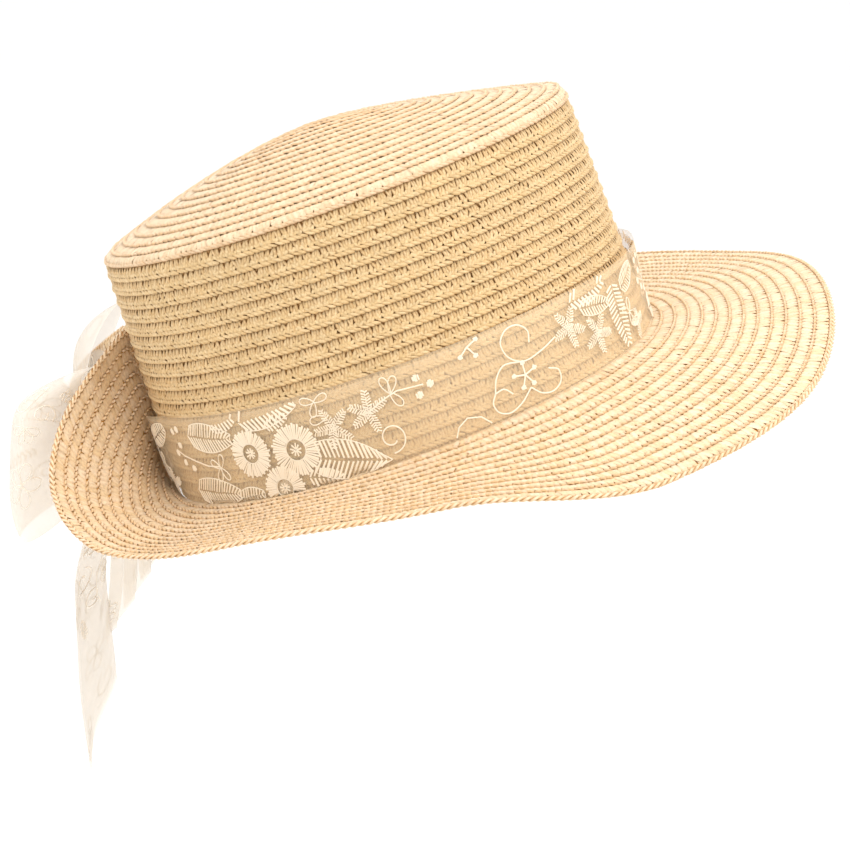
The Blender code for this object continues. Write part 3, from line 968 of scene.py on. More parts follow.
@dataclass
class RibbonSheet:
    """Smooth grid of points along and across a ribbon, that stitches are sewn to.

    Points run along, then across. Along and across give each row's and column's place in metres.
    """

    points: np.ndarray
    along: np.ndarray
    across: np.ndarray
    front: float = 1.0
    margin: float = 0.3 * MM
    woven_edge: tuple = (0.2 * MM, 1.6 * MM)

    def at(self, a: np.ndarray, b: np.ndarray, lift: np.ndarray) -> np.ndarray:
        """Points on the ribbon, raised off its front.

        Args:
            a: places along the ribbon in metres.
            b: places across it in metres.
            lift: heights off its front in metres.

        Returns:
            Points in the row frame.
        """
        rise = unit(np.cross(np.gradient(self.points, axis=0), np.gradient(self.points, axis=1))) * self.front
        a, b, lift = np.broadcast_arrays(a, b, lift)
        i = np.interp(a, self.along, np.arange(len(self.along)))
        j = np.interp(b, self.across, np.arange(len(self.across)))
        i0 = np.minimum(i.astype(int), len(self.along) - 2)
        j0 = np.minimum(j.astype(int), len(self.across) - 2)
        u, v = (i - i0)[..., None], (j - j0)[..., None]

        def between(grid: np.ndarray) -> np.ndarray:
            """Blend a grid's four values round each place."""
            low = grid[i0, j0] * (1 - v) + grid[i0, j0 + 1] * v
            high = grid[i0 + 1, j0] * (1 - v) + grid[i0 + 1, j0 + 1] * v
            return low * (1 - u) + high * u

        return between(self.points) + unit(between(rise)) * lift[..., None]

    def inside(self, a: np.ndarray, b: np.ndarray) -> np.ndarray:
        """Whether places lie on the ribbon, clear of its very edge."""
        return ((a > self.along[0] + self.margin) & (a < self.along[-1] - self.margin) &
                (b > self.across[0] + self.margin) & (b < self.across[-1] - self.margin))

    def piece(self, name: str, material: bpy.types.Material) -> bpy.types.Object:
        """Make the ribbon's own mesh, with its woven edges marked."""
        stock = MeshStock()
        near_edge = np.minimum(self.across - self.across[0], self.across[-1] - self.across)
        edge = np.broadcast_to(1 - smooth_step(near_edge, *self.woven_edge), (1, *self.points.shape[:2]))
        place = np.stack(np.broadcast_arrays(self.along[:, None], self.across[None]), axis=-1)[None]
        stock.add_grids(self.points[None], np.zeros(1), edge, place)
        return stock.piece(name, material)

    def area(self) -> float:
        """Area of the grid in square metres."""
        a, b = np.diff(self.points, axis=0)[:, :-1], np.diff(self.points, axis=1)[:-1]
        return float(np.linalg.norm(np.cross(a, b), axis=-1).sum())


@dataclass
class Pattern:
    """Floral embroidery drawn in millimetres: x along the ribbon, y up across it."""

    stitches: list = field(default_factory=list)
    lines: list = field(default_factory=list)
    unevenness: float = 0.10 * MM
    thickness: tuple = (0.82, 1.12)
    rise: tuple = (0.06 * MM, 0.30 * MM)

    def satin(self, starts: np.ndarray, ends: np.ndarray, half_start: float, half_end: float) -> None:
        """Draw straight stitches side by side.

        Args:
            starts: where the stitches start.
            ends: where they end.
            half_start: half their width at the start.
            half_end: half their width at the end.
        """
        halves = np.broadcast_to([half_start, half_end], (len(starts), 2))
        self.stitches.append(np.concatenate([starts, ends, halves], axis=1))

    def line(self, points: np.ndarray, half: float = 0.22) -> None:
        """Draw a run of fine stitches along a line, given half its width."""
        self.lines.append((np.asarray(points, float), half))

    def ring(self, x: float, y: float, radius: float, lobes: float = 0.0) -> None:
        """Draw a ring, wavy with seven lobes where asked."""
        turn = np.linspace(0, TURN, 57)
        reach = radius * (1 + lobes * np.cos(7 * turn))
        self.line(np.stack([x + reach * np.cos(turn), y + reach * np.sin(turn)], axis=-1), 0.2)

    def flower(self, x: float, y: float, radius: float, rays: int = 54) -> None:
        """Draw a round flower of radial stitches with an open middle and a small star in it."""
        turn = np.arange(rays) / rays * TURN
        ray = np.stack([np.cos(turn), np.sin(turn)], axis=-1)
        outer = (radius * (0.97 + 0.02 * np.cos(9 * turn)) + 0.28 * (-1) ** np.arange(rays))[:, None]
        self.satin((x, y) + ray * 0.42 * radius, (x, y) + ray * outer, 0.26, 0.46)
        self.ring(x, y, 0.41 * radius)
        self.satin((x, y) + ray[::6] * 0.3, (x, y) + ray[::6] * 0.24 * radius, 0.30, 0.36)

    def leaf(self, start: tuple, end: tuple, half: float, ribs: int = 10, outlined: bool = True,
             slant: float = 0.10) -> None:
        """Draw a leaf of slanting stitches on both sides of a midrib.

        Args:
            start: the leaf's foot.
            end: its tip.
            half: half its width.
            ribs: how many stitches a side.
            outlined: whether a fine line joins the stitches' outer ends.
            slant: how far the stitches lean towards the tip, as a share of the leaf's length.
        """
        start, end = np.array(start, float), np.array(end, float)
        way = end - start
        length = np.hypot(*way)
        ahead = way / length
        t = ((np.arange(ribs) + 0.2) / ribs)[:, None]
        foot = start + way * t
        reach = half * np.sin(math.pi * (0.24 + 0.72 * t)) ** 0.8
        thick = 0.29 * length / ribs
        for side in (1, -1):
            tip = foot + ahead * slant * length + np.array([-ahead[1], ahead[0]]) * side * reach
            self.satin(foot + (tip - foot) * 0.08, tip, 0.8 * thick, thick)
            if outlined:
                self.line(np.concatenate([[start], tip, [end + ahead * 0.4]]), 0.2)

    def sprig(self, x: float, y: float, arms: tuple, length: float = 6.5) -> None:
        """Draw a sprig whose arms are ears of short paired stitches, given by their directions in degrees."""
        for arm in np.radians(arms):
            ahead = np.array([math.cos(arm), math.sin(arm)])
            reach = np.arange(0.3, length, 0.95)[:, None]
            wide = 1.75 * np.sin(math.pi * (0.22 + 0.62 * reach / length))
            for side in (1, -1):
                out = np.array([-ahead[1], ahead[0]]) * side
                foot = (x, y) + ahead * (reach + 0.2 * side)
                self.satin(foot - out * 0.2, foot + out * wide + ahead * 0.75, 0.20, 0.30)

    def knobs(self, x: float, y: float, ways: tuple, length: float) -> None:
        """Draw a small star of lines that end in knobs, given by their directions in degrees."""
        for way in np.radians(ways):
            end = (x + length * math.cos(way), y + length * math.sin(way))
            self.line(((x, y), ((x + end[0]) / 2, (y + end[1]) / 2), end), 0.32)
            self.berries((end,), 0.85)

    def curl(self, points: tuple) -> None:
        """Draw a tendril smoothly through points."""
        path, _ = smooth_path(np.array(points, float)[:, None], 0.8)
        self.line(path[:, 0], 0.3)

    def petals(self, x: float, y: float, ways: tuple, length: float = 5.5, width: float = 2.8) -> None:
        """Draw open teardrop petals in outline, given by their directions in degrees."""
        turn = np.linspace(0, TURN, 17)
        far = (1 - np.cos(turn)) / 2
        side = np.sin(turn) * width / 2 * (0.5 + 0.7 * far)
        for way in np.radians(ways):
            c, s = math.cos(way), math.sin(way)
            self.line(np.stack([x + c * far * length - s * side, y + s * far * length + c * side], axis=-1))

    def berries(self, places: tuple, radius: float = 1.25) -> None:
        """Draw small filled rounds."""
        shift = np.array([-0.75, -0.25, 0.25, 0.75]) * radius
        half = np.sqrt(radius ** 2 - shift ** 2)
        for x, y in places:
            self.satin(np.stack([x + shift, y - half], axis=-1), np.stack([x + shift, y + half], axis=-1),
                       0.36, 0.36)

    def scroll(self, x: float, y: float, radius: float, start: float, turns: float) -> None:
        """Draw a spiral tendril that tightens from a starting direction in degrees."""
        share = np.linspace(0, 1, 26)
        turn = math.radians(start) + share * turns * TURN
        reach = radius * (1 - 0.62 * share)
        self.line(np.stack([x + reach * np.cos(turn), y + reach * np.sin(turn)], axis=-1), 0.27)

    def sew(self, stock: MeshStock, sheet: RibbonSheet, origin: tuple, upward: float, seed: int) -> None:
        """Sew the pattern to a ribbon.

        Args:
            stock: what the stitches are added to.
            sheet: the ribbon.
            origin: where the drawing's corner comes, along and across in metres.
            upward: 1 where y runs with the ribbon's across, -1 where it runs against it.
            seed: seed for the small differences between stitches.
        """
        rng = np.random.default_rng(seed)
        rows = np.concatenate(self.stitches) * MM
        a = origin[0] + rows[:, [0, 2]]
        b = origin[1] + upward * rows[:, [1, 3]]
        kept = sheet.inside(a, b).all(axis=1)
        a, b, half = a[kept], b[kept], rows[kept, 4:6]
        a = a + rng.normal(0, self.unevenness, a.shape)
        b = b + rng.normal(0, self.unevenness, b.shape)
        half = half * rng.uniform(*self.thickness, (len(half), 1))
        way = unit(np.stack([a[:, 1] - a[:, 0], b[:, 1] - b[:, 0]], axis=-1))
        # Every straight stitch has a start, a middle and an end
        a, b, half = (ends[:, :1] + (ends[:, 1:] - ends[:, :1]) * [0.0, 0.5, 1.0] for ends in (a, b, half))
        self.strips(stock, sheet, a, b, half, np.broadcast_to(way[:, None], (*a.shape, 2)), rng)
        for points, half in self.lines:
            line_a, line_b = origin[0] + points[:, 0] * MM, origin[1] + upward * points[:, 1] * MM
            if sheet.inside(line_a, line_b).all():
                way = unit(np.gradient(np.stack([line_a, line_b], axis=-1), axis=0))
                self.strips(stock, sheet, line_a[None], line_b[None], np.full((1, len(points)), half * MM),
                            way[None], rng)

    def strips(self, stock: MeshStock, sheet: RibbonSheet, a: np.ndarray, b: np.ndarray, half: np.ndarray,
               way: np.ndarray, rng: np.random.Generator) -> None:
        """Raise strips of thread along lines on the ribbon.

        Args:
            stock: what the strips are added to.
            sheet: the ribbon.
            a: places along the ribbon, for each strip and station.
            b: places across it.
            half: half widths.
            way: the strip's direction at each station.
            rng: source of the small differences.
        """
        sides = np.array([-1.0, 0.0, 1.0])
        shift = half[..., None] * sides
        place_a = a[..., None] - way[..., 1:] * shift
        place_b = b[..., None] + way[..., :1] * shift
        rise = self.rise[0] + self.rise[1] * (1 - np.abs(sides)) * (0.5 + 0.5 * end_fade(a.shape[1]))
        points = sheet.at(place_a, place_b, np.broadcast_to(rise, place_a.shape))
        # Painted shade: a stitch is drawn darker to its sides than along its middle
        crest = np.broadcast_to(0.35 + 0.65 * (1 - np.abs(sides)), place_a.shape)
        stock.add_grids(points, rng.random(len(a)), crest, np.stack([place_a, place_b], axis=-1))


def lace_pattern() -> Pattern:
    """Draw one 232 mm repeat of the lace: flowers, ferns, sprigs, loops, berries and tendrils."""
    lace = Pattern()
    lace.leaf((12, 5.5), (36, 3), 5.2, 17)
    lace.berries(((5, 19), (9, 22), (9, 15.5), (14, 13.5), (6, 27), (10, 28)))
    lace.line(((5, 20), (10, 18), (17, 16), (24, 14), (31, 13.5)), 0.3)
    lace.petals(31, 13, (150, 65, -55, -120), 5.4)
    lace.leaf((36, 1), (48, 1.5), 3.6, 9)
    lace.leaf((17, 25.5), (40, 23), 5.4, 16)
    lace.leaf((32, 29), (45, 30), 4.0, 8, outlined=False)
    lace.flower(48, 16.5, 8.7)
    lace.flower(67.5, 14.5, 9.6)
    lace.flower(58, 2.2, 8.4)
    lace.leaf((47, 28), (72, 31), 5.0, 13)
    lace.leaf((58, 25), (68, 27), 2.6, 7, outlined=False)
    lace.petals(80.5, 29, (15, 165, 245), 5.6)
    lace.petals(83, 23, (185,), 6.5, 3.4)
    lace.sprig(84.5, 18.5, (40, 110, 180, 250, 315), 7.5)
    lace.leaf((76, 9.5), (101, 1.8), 7.2, 15, slant=-0.10)
    lace.leaf((69, 4), (82, 0.8), 3.6, 8, outlined=False)
    lace.sprig(99, 20, (20, 85, 150, 205, 280), 7.5)
    lace.scroll(103.8, 9.0, 5.6, -100, 1.15)
    lace.line(((99, 20), (105, 22.5), (111, 24), (121, 23)), 0.3)
    lace.petals(108.5, 24, (60, 105, -60), 6.2, 3.2)
    lace.berries(((119, 26), (118.5, 20), (123.5, 22.5)), 1.35)
    lace.knobs(140.5, 29.5, (20, 215, 300), 4.4)
    lace.curl(((175, 19.5), (168, 17.5), (158.2, 17), (153.8, 21), (153.2, 26), (156.8, 29.6), (161.8, 29.6),
               (165, 26), (164, 22)))
    lace.curl(((158.2, 17), (150.8, 18), (146.8, 14.5), (144.8, 10), (142.8, 6.8), (143.8, 3.4), (147.3, 1.6),
               (152.8, 2.8), (158.8, 6.8)))
    lace.curl(((158.8, 6.8), (162.2, 3.2), (167.2, 2), (171.4, 4.2), (172, 8), (168, 10.4)))
    lace.curl(((144.8, 10), (148.3, 10.4), (151.3, 7.4)))
    lace.knobs(158.3, 11.8, (15, 85, 165, 240, 300), 4.6)
    lace.sprig(182.5, 20, (60, 120, 190, 275, 335), 7.5)
    lace.sprig(195.5, 12.5, (50, 115, 200, 270, 345), 7.5)
    lace.leaf((186, 28), (206, 29.5), 4.2, 10, outlined=False)
    lace.leaf((190, 24.5), (206, 21), 3.6, 11)
    lace.leaf((211, 26), (211.5, 1.5), 5.4, 15, outlined=False, slant=0.07)
    lace.petals(219, 12, (80, 150, 270, 330), 5.6)
    lace.leaf((217, 22), (230, 28), 4.2, 10)
    lace.sprig(224, 6, (20, 90, 160, 240), 5.5)
    lace.line(((126, 0.8), (128, 4), (132, 6), (137, 4.5), (140, 1)), 0.27)
    return lace


def bow_pattern() -> Pattern:
    """Draw the sparser stretch of the same lace that the bow is tied from, mostly outlines."""
    lace = Pattern()
    for x in (0, 62, 124):
        lace.petals(x + 14, 16, (0, 72, 144, 216, 288), 8.0, 5.4)
        lace.leaf((x + 50, 24), (x + 62, 20), 2.0, 7, outlined=False)
        lace.scroll(x + 34, 20, 6.5, 200, 1.1)
        lace.scroll(x + 47, 14, 5.0, -40, 1.2)
        lace.petals(x + 40, 7, (195, 250, 300, 345), 7.0, 4.2)
        lace.line(((x + 24, 4), (x + 30, 8), (x + 38, 11), (x + 47, 12), (x + 55, 10)))
    return lace


def smooth_path(keys: np.ndarray, spacing: float) -> tuple[np.ndarray, np.ndarray]:
    """Draw smooth lines through rows of points.

    Args:
        keys: points, as rows along the lines, lines, and 3.
        spacing: distance between the new rows.

    Returns:
        New rows of points, and their distance along the lines' mean.
    """
    steps = np.linalg.norm(np.diff(keys, axis=0), axis=-1).mean(axis=1)
    at = np.concatenate([[0], np.cumsum(steps)])
    slopes = np.diff(keys, axis=0) / steps[:, None, None]
    weights = (steps[1:] / (steps[1:] + steps[:-1]))[:, None, None]
    inner = slopes[:-1] * weights + slopes[1:] * (1 - weights)
    tangents = np.concatenate([slopes[:1], inner, slopes[-1:]])
    where = np.linspace(0, at[-1], int(at[-1] / spacing) + 1)
    i = np.clip(np.searchsorted(at, where, side="right") - 1, 0, len(steps) - 1)
    t = ((where - at[i]) / steps[i])[:, None, None]
    return cubic(t, steps[i][:, None, None], keys, tangents, i), where


@dataclass
class LacePiece:
    """Shared dressing of every ribbon piece: its organza and its lace."""

    name: str
    node: str
    organza: bpy.types.Material
    thread: bpy.types.Material
    lace: Pattern

    def finish(self, sheet: RibbonSheet, repeats: tuple, flat: tuple, held: str, rests_on: tuple,
               area: float | None = None) -> list:
        """Args:
            sheet: the ribbon's grid.
            repeats: for each repeat of the lace, its place along and across and which way up it is.
            flat: width and length of the ribbon before it was tied.
            held: how the cloth is held; not used.
            rests_on: what it lies on or hangs from; not used.
            area: flat area, where the cut is on the slant.

        Returns:
            The new pieces.
        """
        ribbon = sheet.piece(self.name, self.organza)
        # So open a weave hardly dims the light that passes through it
        ribbon.visible_shadow = False
        pieces = [ribbon]
        stock = MeshStock()
        for number, (a, b, upward) in enumerate(repeats):
            self.lace.sew(stock, sheet, (a, b), upward, 700 + number)
        if stock.count:
            pieces.append(stock.piece(self.name + "_lace", self.thread))
        for thing in pieces:
            dress(thing, self.node)
        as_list(pieces[1:])
        log.info("%s: area %.5f of %.5f m2", self.name, sheet.area(), area or flat[0] * flat[1])
        return pieces


@dataclass
class HatBand(LacePiece):
    """Ribbon folded lengthwise round the crown, its two ends drawn back through the split to the knot."""

    form: HatForm = field(default_factory=HatForm)
    width: float = 32 * MM
    ribbon_width: float = 65 * MM
    end_spread: float = 2.4 * MM
    # The top edge rises towards the back, from an angle in degrees and over so many more
    rise: float = 3.4 * MM
    rise_from: float = 20
    rise_over: float = 130
    leave_angle: float = math.radians(157)
    close_angle: float = math.radians(173)
    leave_share: float = 0.45
    turn_share: float = 0.45
    top_loose: float = 3.2 * MM
    ripple: float = 0.22 * MM
    ripples: int = 23
    brim_clear: float = 2 * MM
    foot_along: float = 1.6 * MM
    foot_drop: float = 0.3 * MM
    stations: int = 140
    low_share: float = 0.36
    high_share: float = 0.96
    end_at: float = -110.0 * MM
    outer_layer: float = 1.3 * MM
    inner_layer: float = 0.6 * MM
    inner_share: float = 0.955
    fold_share: float = 0.012
    lines_a_layer: int = 10
    repeat: float = 232 * MM
    first_repeat: float = 42 * MM

    def room(self, angle: np.ndarray, height: np.ndarray) -> np.ndarray:
        """Distance from the crown to the turned-up brim, at a height or at the brim's own edge."""
        share = np.linspace(0.01, 1, 200)
        wide = angle[..., None] + 0 * share
        point = self.form.brim_point(wide, share * self.form.brim_reach(wide))
        above = point[..., 2] >= height[..., None]
        first = np.where(above.any(axis=-1), np.argmax(above, axis=-1), len(share) - 1)
        chosen = np.take_along_axis(point, first[..., None, None], axis=-2)[..., 0, :]
        foot = self.form.side_point(angle, height, 0 * height)
        return np.hypot(chosen[..., 0] - foot[..., 0], chosen[..., 1] - foot[..., 1])

    def keys(self, share: np.ndarray, out: np.ndarray) -> np.ndarray:
        """Rows of points along the band for each height share, at each layer's distance off the crown."""
        close = math.degrees(self.close_angle)
        angle = np.radians(np.linspace(-close, close, self.stations))
        angle, share_grid = np.meshgrid(angle, share, indexing="ij")
        out_grid = np.broadcast_to(out, angle.shape)
        pull = smooth_step(np.abs(angle), self.leave_angle, math.pi)
        foot = self.form.brim_point(angle, np.full_like(angle, self.foot_along))[..., 2]
        low = np.maximum(foot, 0) - self.foot_drop
        low = low + (self.low_share * self.width - low) * pull ** 2
        risen = np.clip((np.abs(np.degrees(angle)) - self.rise_from) / self.rise_over, 0, 1)
        high = self.width + self.rise * risen
        height = low + (high - low) * share_grid
        room = np.maximum(self.room(angle, height) - self.brim_clear, 0)
        # The top edge stands off the crown at the front, and ripples a little all round
        front = smooth_step(np.cos(angle), 0.2, 1.0)
        loose = self.top_loose * front ** 2 * share_grid ** 2
        loose = loose + self.ripple * np.sin(angle * self.ripples) * share_grid
        off = self.form.gap + self.leave_share * pull * room + out_grid + loose
        body = self.form.side_point(angle, height, off)
        # Both ends turn back at the split and run out to the knot side by side
        high = (self.low_share + (self.high_share - self.low_share) * share) * self.width
        back = np.full_like(share, math.pi)
        turn = self.form.side_point(back, high, self.turn_share * self.room(back, high))
        ends = {}
        for side in (-1, 1):
            aside = side * (self.end_spread / 2 + out)
            ends[side] = (np.stack([turn[:, 0], aside, turn[:, 2]], axis=-1)[None],
                          np.stack([np.full_like(share, self.end_at), aside, high], axis=-1)[None])
        return np.concatenate([*ends[-1][::-1], body, *ends[1]])

    def build(self) -> list:
        """Build the folded band with its lace on the outer layer."""
        half, lines = self.ribbon_width / 2, self.lines_a_layer
        down = np.linspace(1, 0, lines)
        # Down the outer layer, round the fold, and up the inner one, which ends a little lower
        share = np.concatenate([down, [-self.fold_share], down[::-1] * self.inner_share])
        middle = (self.outer_layer + self.inner_layer) / 2
        out = np.concatenate([np.full(lines, self.outer_layer), [middle], np.full(lines, self.inner_layer)])
        points, along = smooth_path(self.keys(share, out), 2 * MM)
        across = np.concatenate([(1 - down) * half, [half + 0.2 * MM], half + 0.4 * MM + (1 - down) * half])
        sheet = RibbonSheet(tipped(points), along, across, front=-1.0)
        repeats = tuple((self.first_repeat + self.repeat * k, half, -1.0) for k in range(-1, 3))
        flat = (self.ribbon_width, float(along[-1]))
        return self.finish(sheet, repeats, flat, "folded", ("crown_lower_braid",))


@dataclass(frozen=True)
class BowPlace:
    """Where the bow is tied: the knot's centre in the row frame and its half sizes."""

    centre: tuple
    halves: tuple = (7.5 * MM, 9 * MM, 12 * MM)
    ribbon_width: float = 65 * MM
    wall: float = 0.8 * MM

    def reach(self, way: tuple) -> float:
        """Distance from the knot's centre to its face along a direction in the row frame."""
        x, y, z = way
        c, s = math.cos(TIP_BACK), math.sin(TIP_BACK)
        local = (x * c + z * s, y, -x * s + z * c)
        return 1 / math.sqrt(sum((k / half) ** 2 for k, half in zip(local, self.halves)))


@dataclass
class BowKnot(LacePiece):
    """Knot of ribbon wrapped round the bow's middle, pleated by the pull."""

    place: BowPlace = None
    pleats: int = 7
    pleat_share: float = 0.045
    overlap: float = 1.04
    strip: float = 24 * MM

    def build(self) -> list:
        """Build the wrapped strip, whose two sides draw in under the loops."""
        long, wide, tall = (half + 0.5 * MM for half in self.place.halves)
        turn = np.linspace(0, TURN * self.overlap, 73)
        side = np.linspace(-1, 1, 37)
        t, v = np.meshgrid(turn, side, indexing="ij")
        pleats = np.cos(self.pleats * math.pi * v + 0.6 * np.sin(t))
        shape = np.sqrt(1 - 0.86 * v ** 2) + self.pleat_share * pleats + 0.03 * t / TURN
        local = np.stack([long * np.cos(t) * shape, wide * v, tall * np.sin(t) * shape], axis=-1)
        points = tipped(local) + np.array(self.place.centre)
        length = TURN * math.sqrt((long ** 2 + tall ** 2) / 2)
        sheet = RibbonSheet(points, turn / turn[-1] * length, (side + 1) / 2 * self.strip)
        return self.finish(sheet, (), (self.strip, length), "gathered", ("ribbon_band",))


@dataclass
class BowLoop(LacePiece):
    """Loop of opened ribbon, out from the knot, round its end and back.

    Reach, opens and leans are shares of the ribbon's width, lift is a share of the reach, and the asides
    are degrees from straight back.
    """

    place: BowPlace = None
    side: int = 1
    reach: float = 0.6
    root_aside: float = 25
    aside: float = 46
    open_outer: float = 0.2
    open_inner: float = 0.08
    lift: float = 0.1
    lean_outer: float = 0.03
    lean_inner: float = 0.05
    top_retreat: float = 0.9
    low_retreat: float = 0.4
    top_lean: float = 0.0
    top_lean_from: float = 0.35
    low_drop: float = 0.0
    top_drop: float = 0.0
    root_height: float = 15 * MM
    root_open: float = 1.4 * MM
    pleat: float = 0.9 * MM
    ripple: float = 0.7 * MM
    spare: float = 1.05

    def build(self) -> list:
        """Build the loop with its lace."""
        wide = self.place.ribbon_width
        reach = self.reach * wide
        aside, root_aside = math.radians(self.aside), math.radians(self.root_aside)
        axis = np.array([-math.cos(aside), self.side * math.sin(aside), 0])
        outward = np.array([-math.sin(aside), -self.side * math.cos(aside), 0])
        root_way = np.array([-math.cos(root_aside), self.side * math.sin(root_aside), 0])
        root = root_way * (self.place.reach(tuple(root_way)) + self.place.wall / 2 + self.root_open)
        turn = np.linspace(0, TURN, 97)
        t, w = np.meshgrid(turn, np.linspace(-1, 1, 33), indexing="ij")
        far = (1 - np.cos(t)) / 2
        opened = np.where(t <= math.pi, self.open_outer, self.open_inner)
        belly = opened * wide * np.sin(t) * (0.55 + 0.45 * far) + self.root_open * np.cos(t / 2)
        half = self.root_height / 2 + (wide - self.root_height) / 2 * far ** 0.35
        lean = (self.lean_outer + self.lean_inner) / 2 + (self.lean_outer - self.lean_inner) / 2 * np.sin(t)
        # The loop's two edges draw back from its end, and its top and bottom corners drop
        retreat = np.where(w > 0, self.top_retreat * np.abs(w) ** 4, self.low_retreat * np.abs(w) ** 5)
        crowned = 1 - retreat * far
        pleat = self.pleat * np.cos(3.5 * math.pi * w + 0.8 * np.sin(t)) * (1 - far)
        ripple = self.ripple * np.sin(1.6 * math.pi * w + 1.3 * t) * far * (1 - 0.6 * far)
        forward = lean * wide * w * far + self.top_lean * np.maximum(w - self.top_lean_from, 0) ** 2 * far
        points = (root + axis * (reach * far * crowned)[..., None] +
                  outward * (belly * crowned + pleat + ripple)[..., None])
        points[..., 0] += forward
        points[..., 2] += self.lift * reach * far + half * w
        points[..., 2] -= far * np.where(w < 0, self.low_drop, self.top_drop) * np.abs(w) ** 1.5
        length = 2 * reach * self.spare
        sheet = RibbonSheet(points + np.array(self.place.centre), turn / turn[-1] * length,
                            (w[0] + 1) / 2 * wide)
        repeats = ((-30 * MM, 3 * MM, 1.0), (-118 * MM, 34 * MM, 1.0))
        return self.finish(sheet, repeats, (wide, length), "folded", ("ribbon_knot",))


@dataclass
class BowTail(LacePiece):
    """Hanging end of the ribbon, gathered at the knot and cut on the slant.

    Sections is a table of the ribbon's run, waves the folds across it, and fold share and spread scale the
    table's fold and width. Point share is how much of the cut runs out to a thin point.
    """

    place: BowPlace = None
    longest: float = 129 * MM
    shortest: float = 92 * MM
    sections: tuple = ()
    layers: int = 2
    waves: float = 1.1
    fold_share: float = 1.0
    spread: float = 1.0
    forward: float = 0.0
    point_share: float = 0.48

    def build(self) -> list:
        """Build the tail, folded lengthwise where it has two layers, with its lace."""
        wide = self.place.ribbon_width
        top = self.place.reach((0, 0, -1)) + self.place.wall
        shares = np.linspace(0, 1, 61)
        w = np.linspace(-1, 1, 61)
        folded = self.layers == 2
        share, u_grid = np.meshgrid(shares, 1 - 2 * np.abs(w) if folded else w, indexing="ij")
        w_grid = np.broadcast_to(w, share.shape)
        wave = np.sin(self.waves * TURN * u_grid)
        # The slanting cut is lowest where a line of the ribbon hangs furthest back
        _, _, last_back, _, last_fold = (wide * value for value in self.sections[-1][1:])
        sideways = last_back * u_grid + last_fold * self.fold_share * wave
        slant = np.clip(sideways / (last_back + 0.5 * last_fold * self.fold_share), -1, 1)
        past = (1 - slant) / 2
        if folded:
            # The cut falls gently, then runs out to a thin point
            past = (1 - self.point_share) * past ** 0.9 + self.point_share * past ** 9
        length = self.shortest + (self.longest - self.shortest) * past
        if folded:
            length = length * (1 - 0.04 * (w_grid > 0))
        drop = share * length
        back, left, half_back, half_left, fold = (
            wide * read_table(self.sections, c, drop / self.longest) for c in range(1, 6))
        x = -back + half_back * u_grid + fold * self.fold_share * wave
        x += self.forward * (drop / self.longest) ** 1.5
        x += 0.5 * MM * np.sin(drop / (11 * MM) + 3 * w_grid) * share
        y = left + half_left * self.spread * u_grid
        if folded:
            x += (0.7 + 0.3 * np.cos(3 * u_grid)) * MM * np.tanh(6 * w_grid) * (0.3 + 0.7 * share)
        points = np.stack([x, y, -top - drop], axis=-1) + np.array(self.place.centre)
        sheet = RibbonSheet(points, shares * self.longest, (w + 1) / 2 * wide, front=-1.0)
        repeats = ((-35 * MM, 2 * MM, 1.0), (-100 * MM, 35 * MM, 1.0))
        area = wide * (self.longest + self.shortest) / 2
        return self.finish(sheet, repeats, (wide, self.longest), "hung", ("ribbon_knot",), area)


@dataclass
class Studio:
    """Camera, soft lights and floor."""

    camera_at: tuple = (-55.4 * MM, -859.8 * MM, 198.4 * MM)
    camera_aim: tuple = (4.6 * MM, -3.0 * MM, -10.9 * MM)
    clip: tuple = (0.01, 100)
    focal_px: float = 2188.0
    image_px: float = 850.0
    sensor_mm: float = 36.0
    floor_height: float = -450 * MM
    floor_half: float = 30.0
    # Each light's name, place, side, power and colour
    lights: tuple = (
        ("key", (0.9, -0.7, 1.2), 1.0, 11.0, "FFFBF4"),
        ("fill", (-1.0, -0.9, 0.6), 1.2, 3.0, "FFFFFF"),
        ("top", (-0.15, 0.0, 1.6), 1.8, 11.0, "FFFFFF"),
    )
    surroundings: float = 1.1

    def place_camera(self) -> None:
        """Set the camera at the photograph's viewing angle."""
        data = bpy.data.cameras.new("camera")
        data.sensor_width = self.sensor_mm
        data.lens = self.focal_px / self.image_px * self.sensor_mm
        data.clip_start, data.clip_end = self.clip
        camera = bpy.data.objects.new("camera", data)
        camera.location = self.camera_at
        way = Vector(self.camera_aim) - Vector(self.camera_at)
        camera.rotation_euler = way.to_track_quat("-Z", "Y").to_euler()
        bpy.context.scene.collection.objects.link(camera)
        bpy.context.scene.camera = camera

    def soft_light(self, name: str, at: tuple, size: float, watts: float, colour: str) -> None:
        """Hang one square soft light aimed at the hat.

        Args:
            name: the light's name.
            at: its place.
            size: its side.
            watts: its power.
            colour: its sRGB colour.
        """
        data = bpy.data.lights.new(name, "AREA")
        data.shape, data.size, data.energy = "SQUARE", size, watts
        data.color = linear(colour)[:3]
        light = bpy.data.objects.new(name, data)
        light.location = at
        light.rotation_euler = (-Vector(at)).to_track_quat("-Z", "Y").to_euler()
        bpy.context.scene.collection.objects.link(light)

    def build(self) -> None:
        """Build the floor, the lights and the even white surroundings."""
        self.place_camera()
        stock = MeshStock()
        x, y = np.meshgrid([-self.floor_half, self.floor_half], [-self.floor_half, self.floor_half])
        corners = np.stack([x, y, np.full_like(x, self.floor_height)], axis=-1)
        stock.add_grids(corners[None], np.zeros(1), np.zeros((1, 2, 2)), np.stack([x, y], axis=-1)[None])
        stock.piece("floor", PaintedFloor().material())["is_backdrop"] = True
        for light in self.lights:
            self.soft_light(*light)
        world = bpy.data.worlds.new("studio")
        world.use_nodes = True
        light = world.node_tree.nodes["Background"].inputs
        light["Color"].default_value, light["Strength"].default_value = (1, 1, 1, 1), self.surroundings
        bpy.context.scene.world = world
        bpy.context.scene.view_settings.view_transform = "Standard"


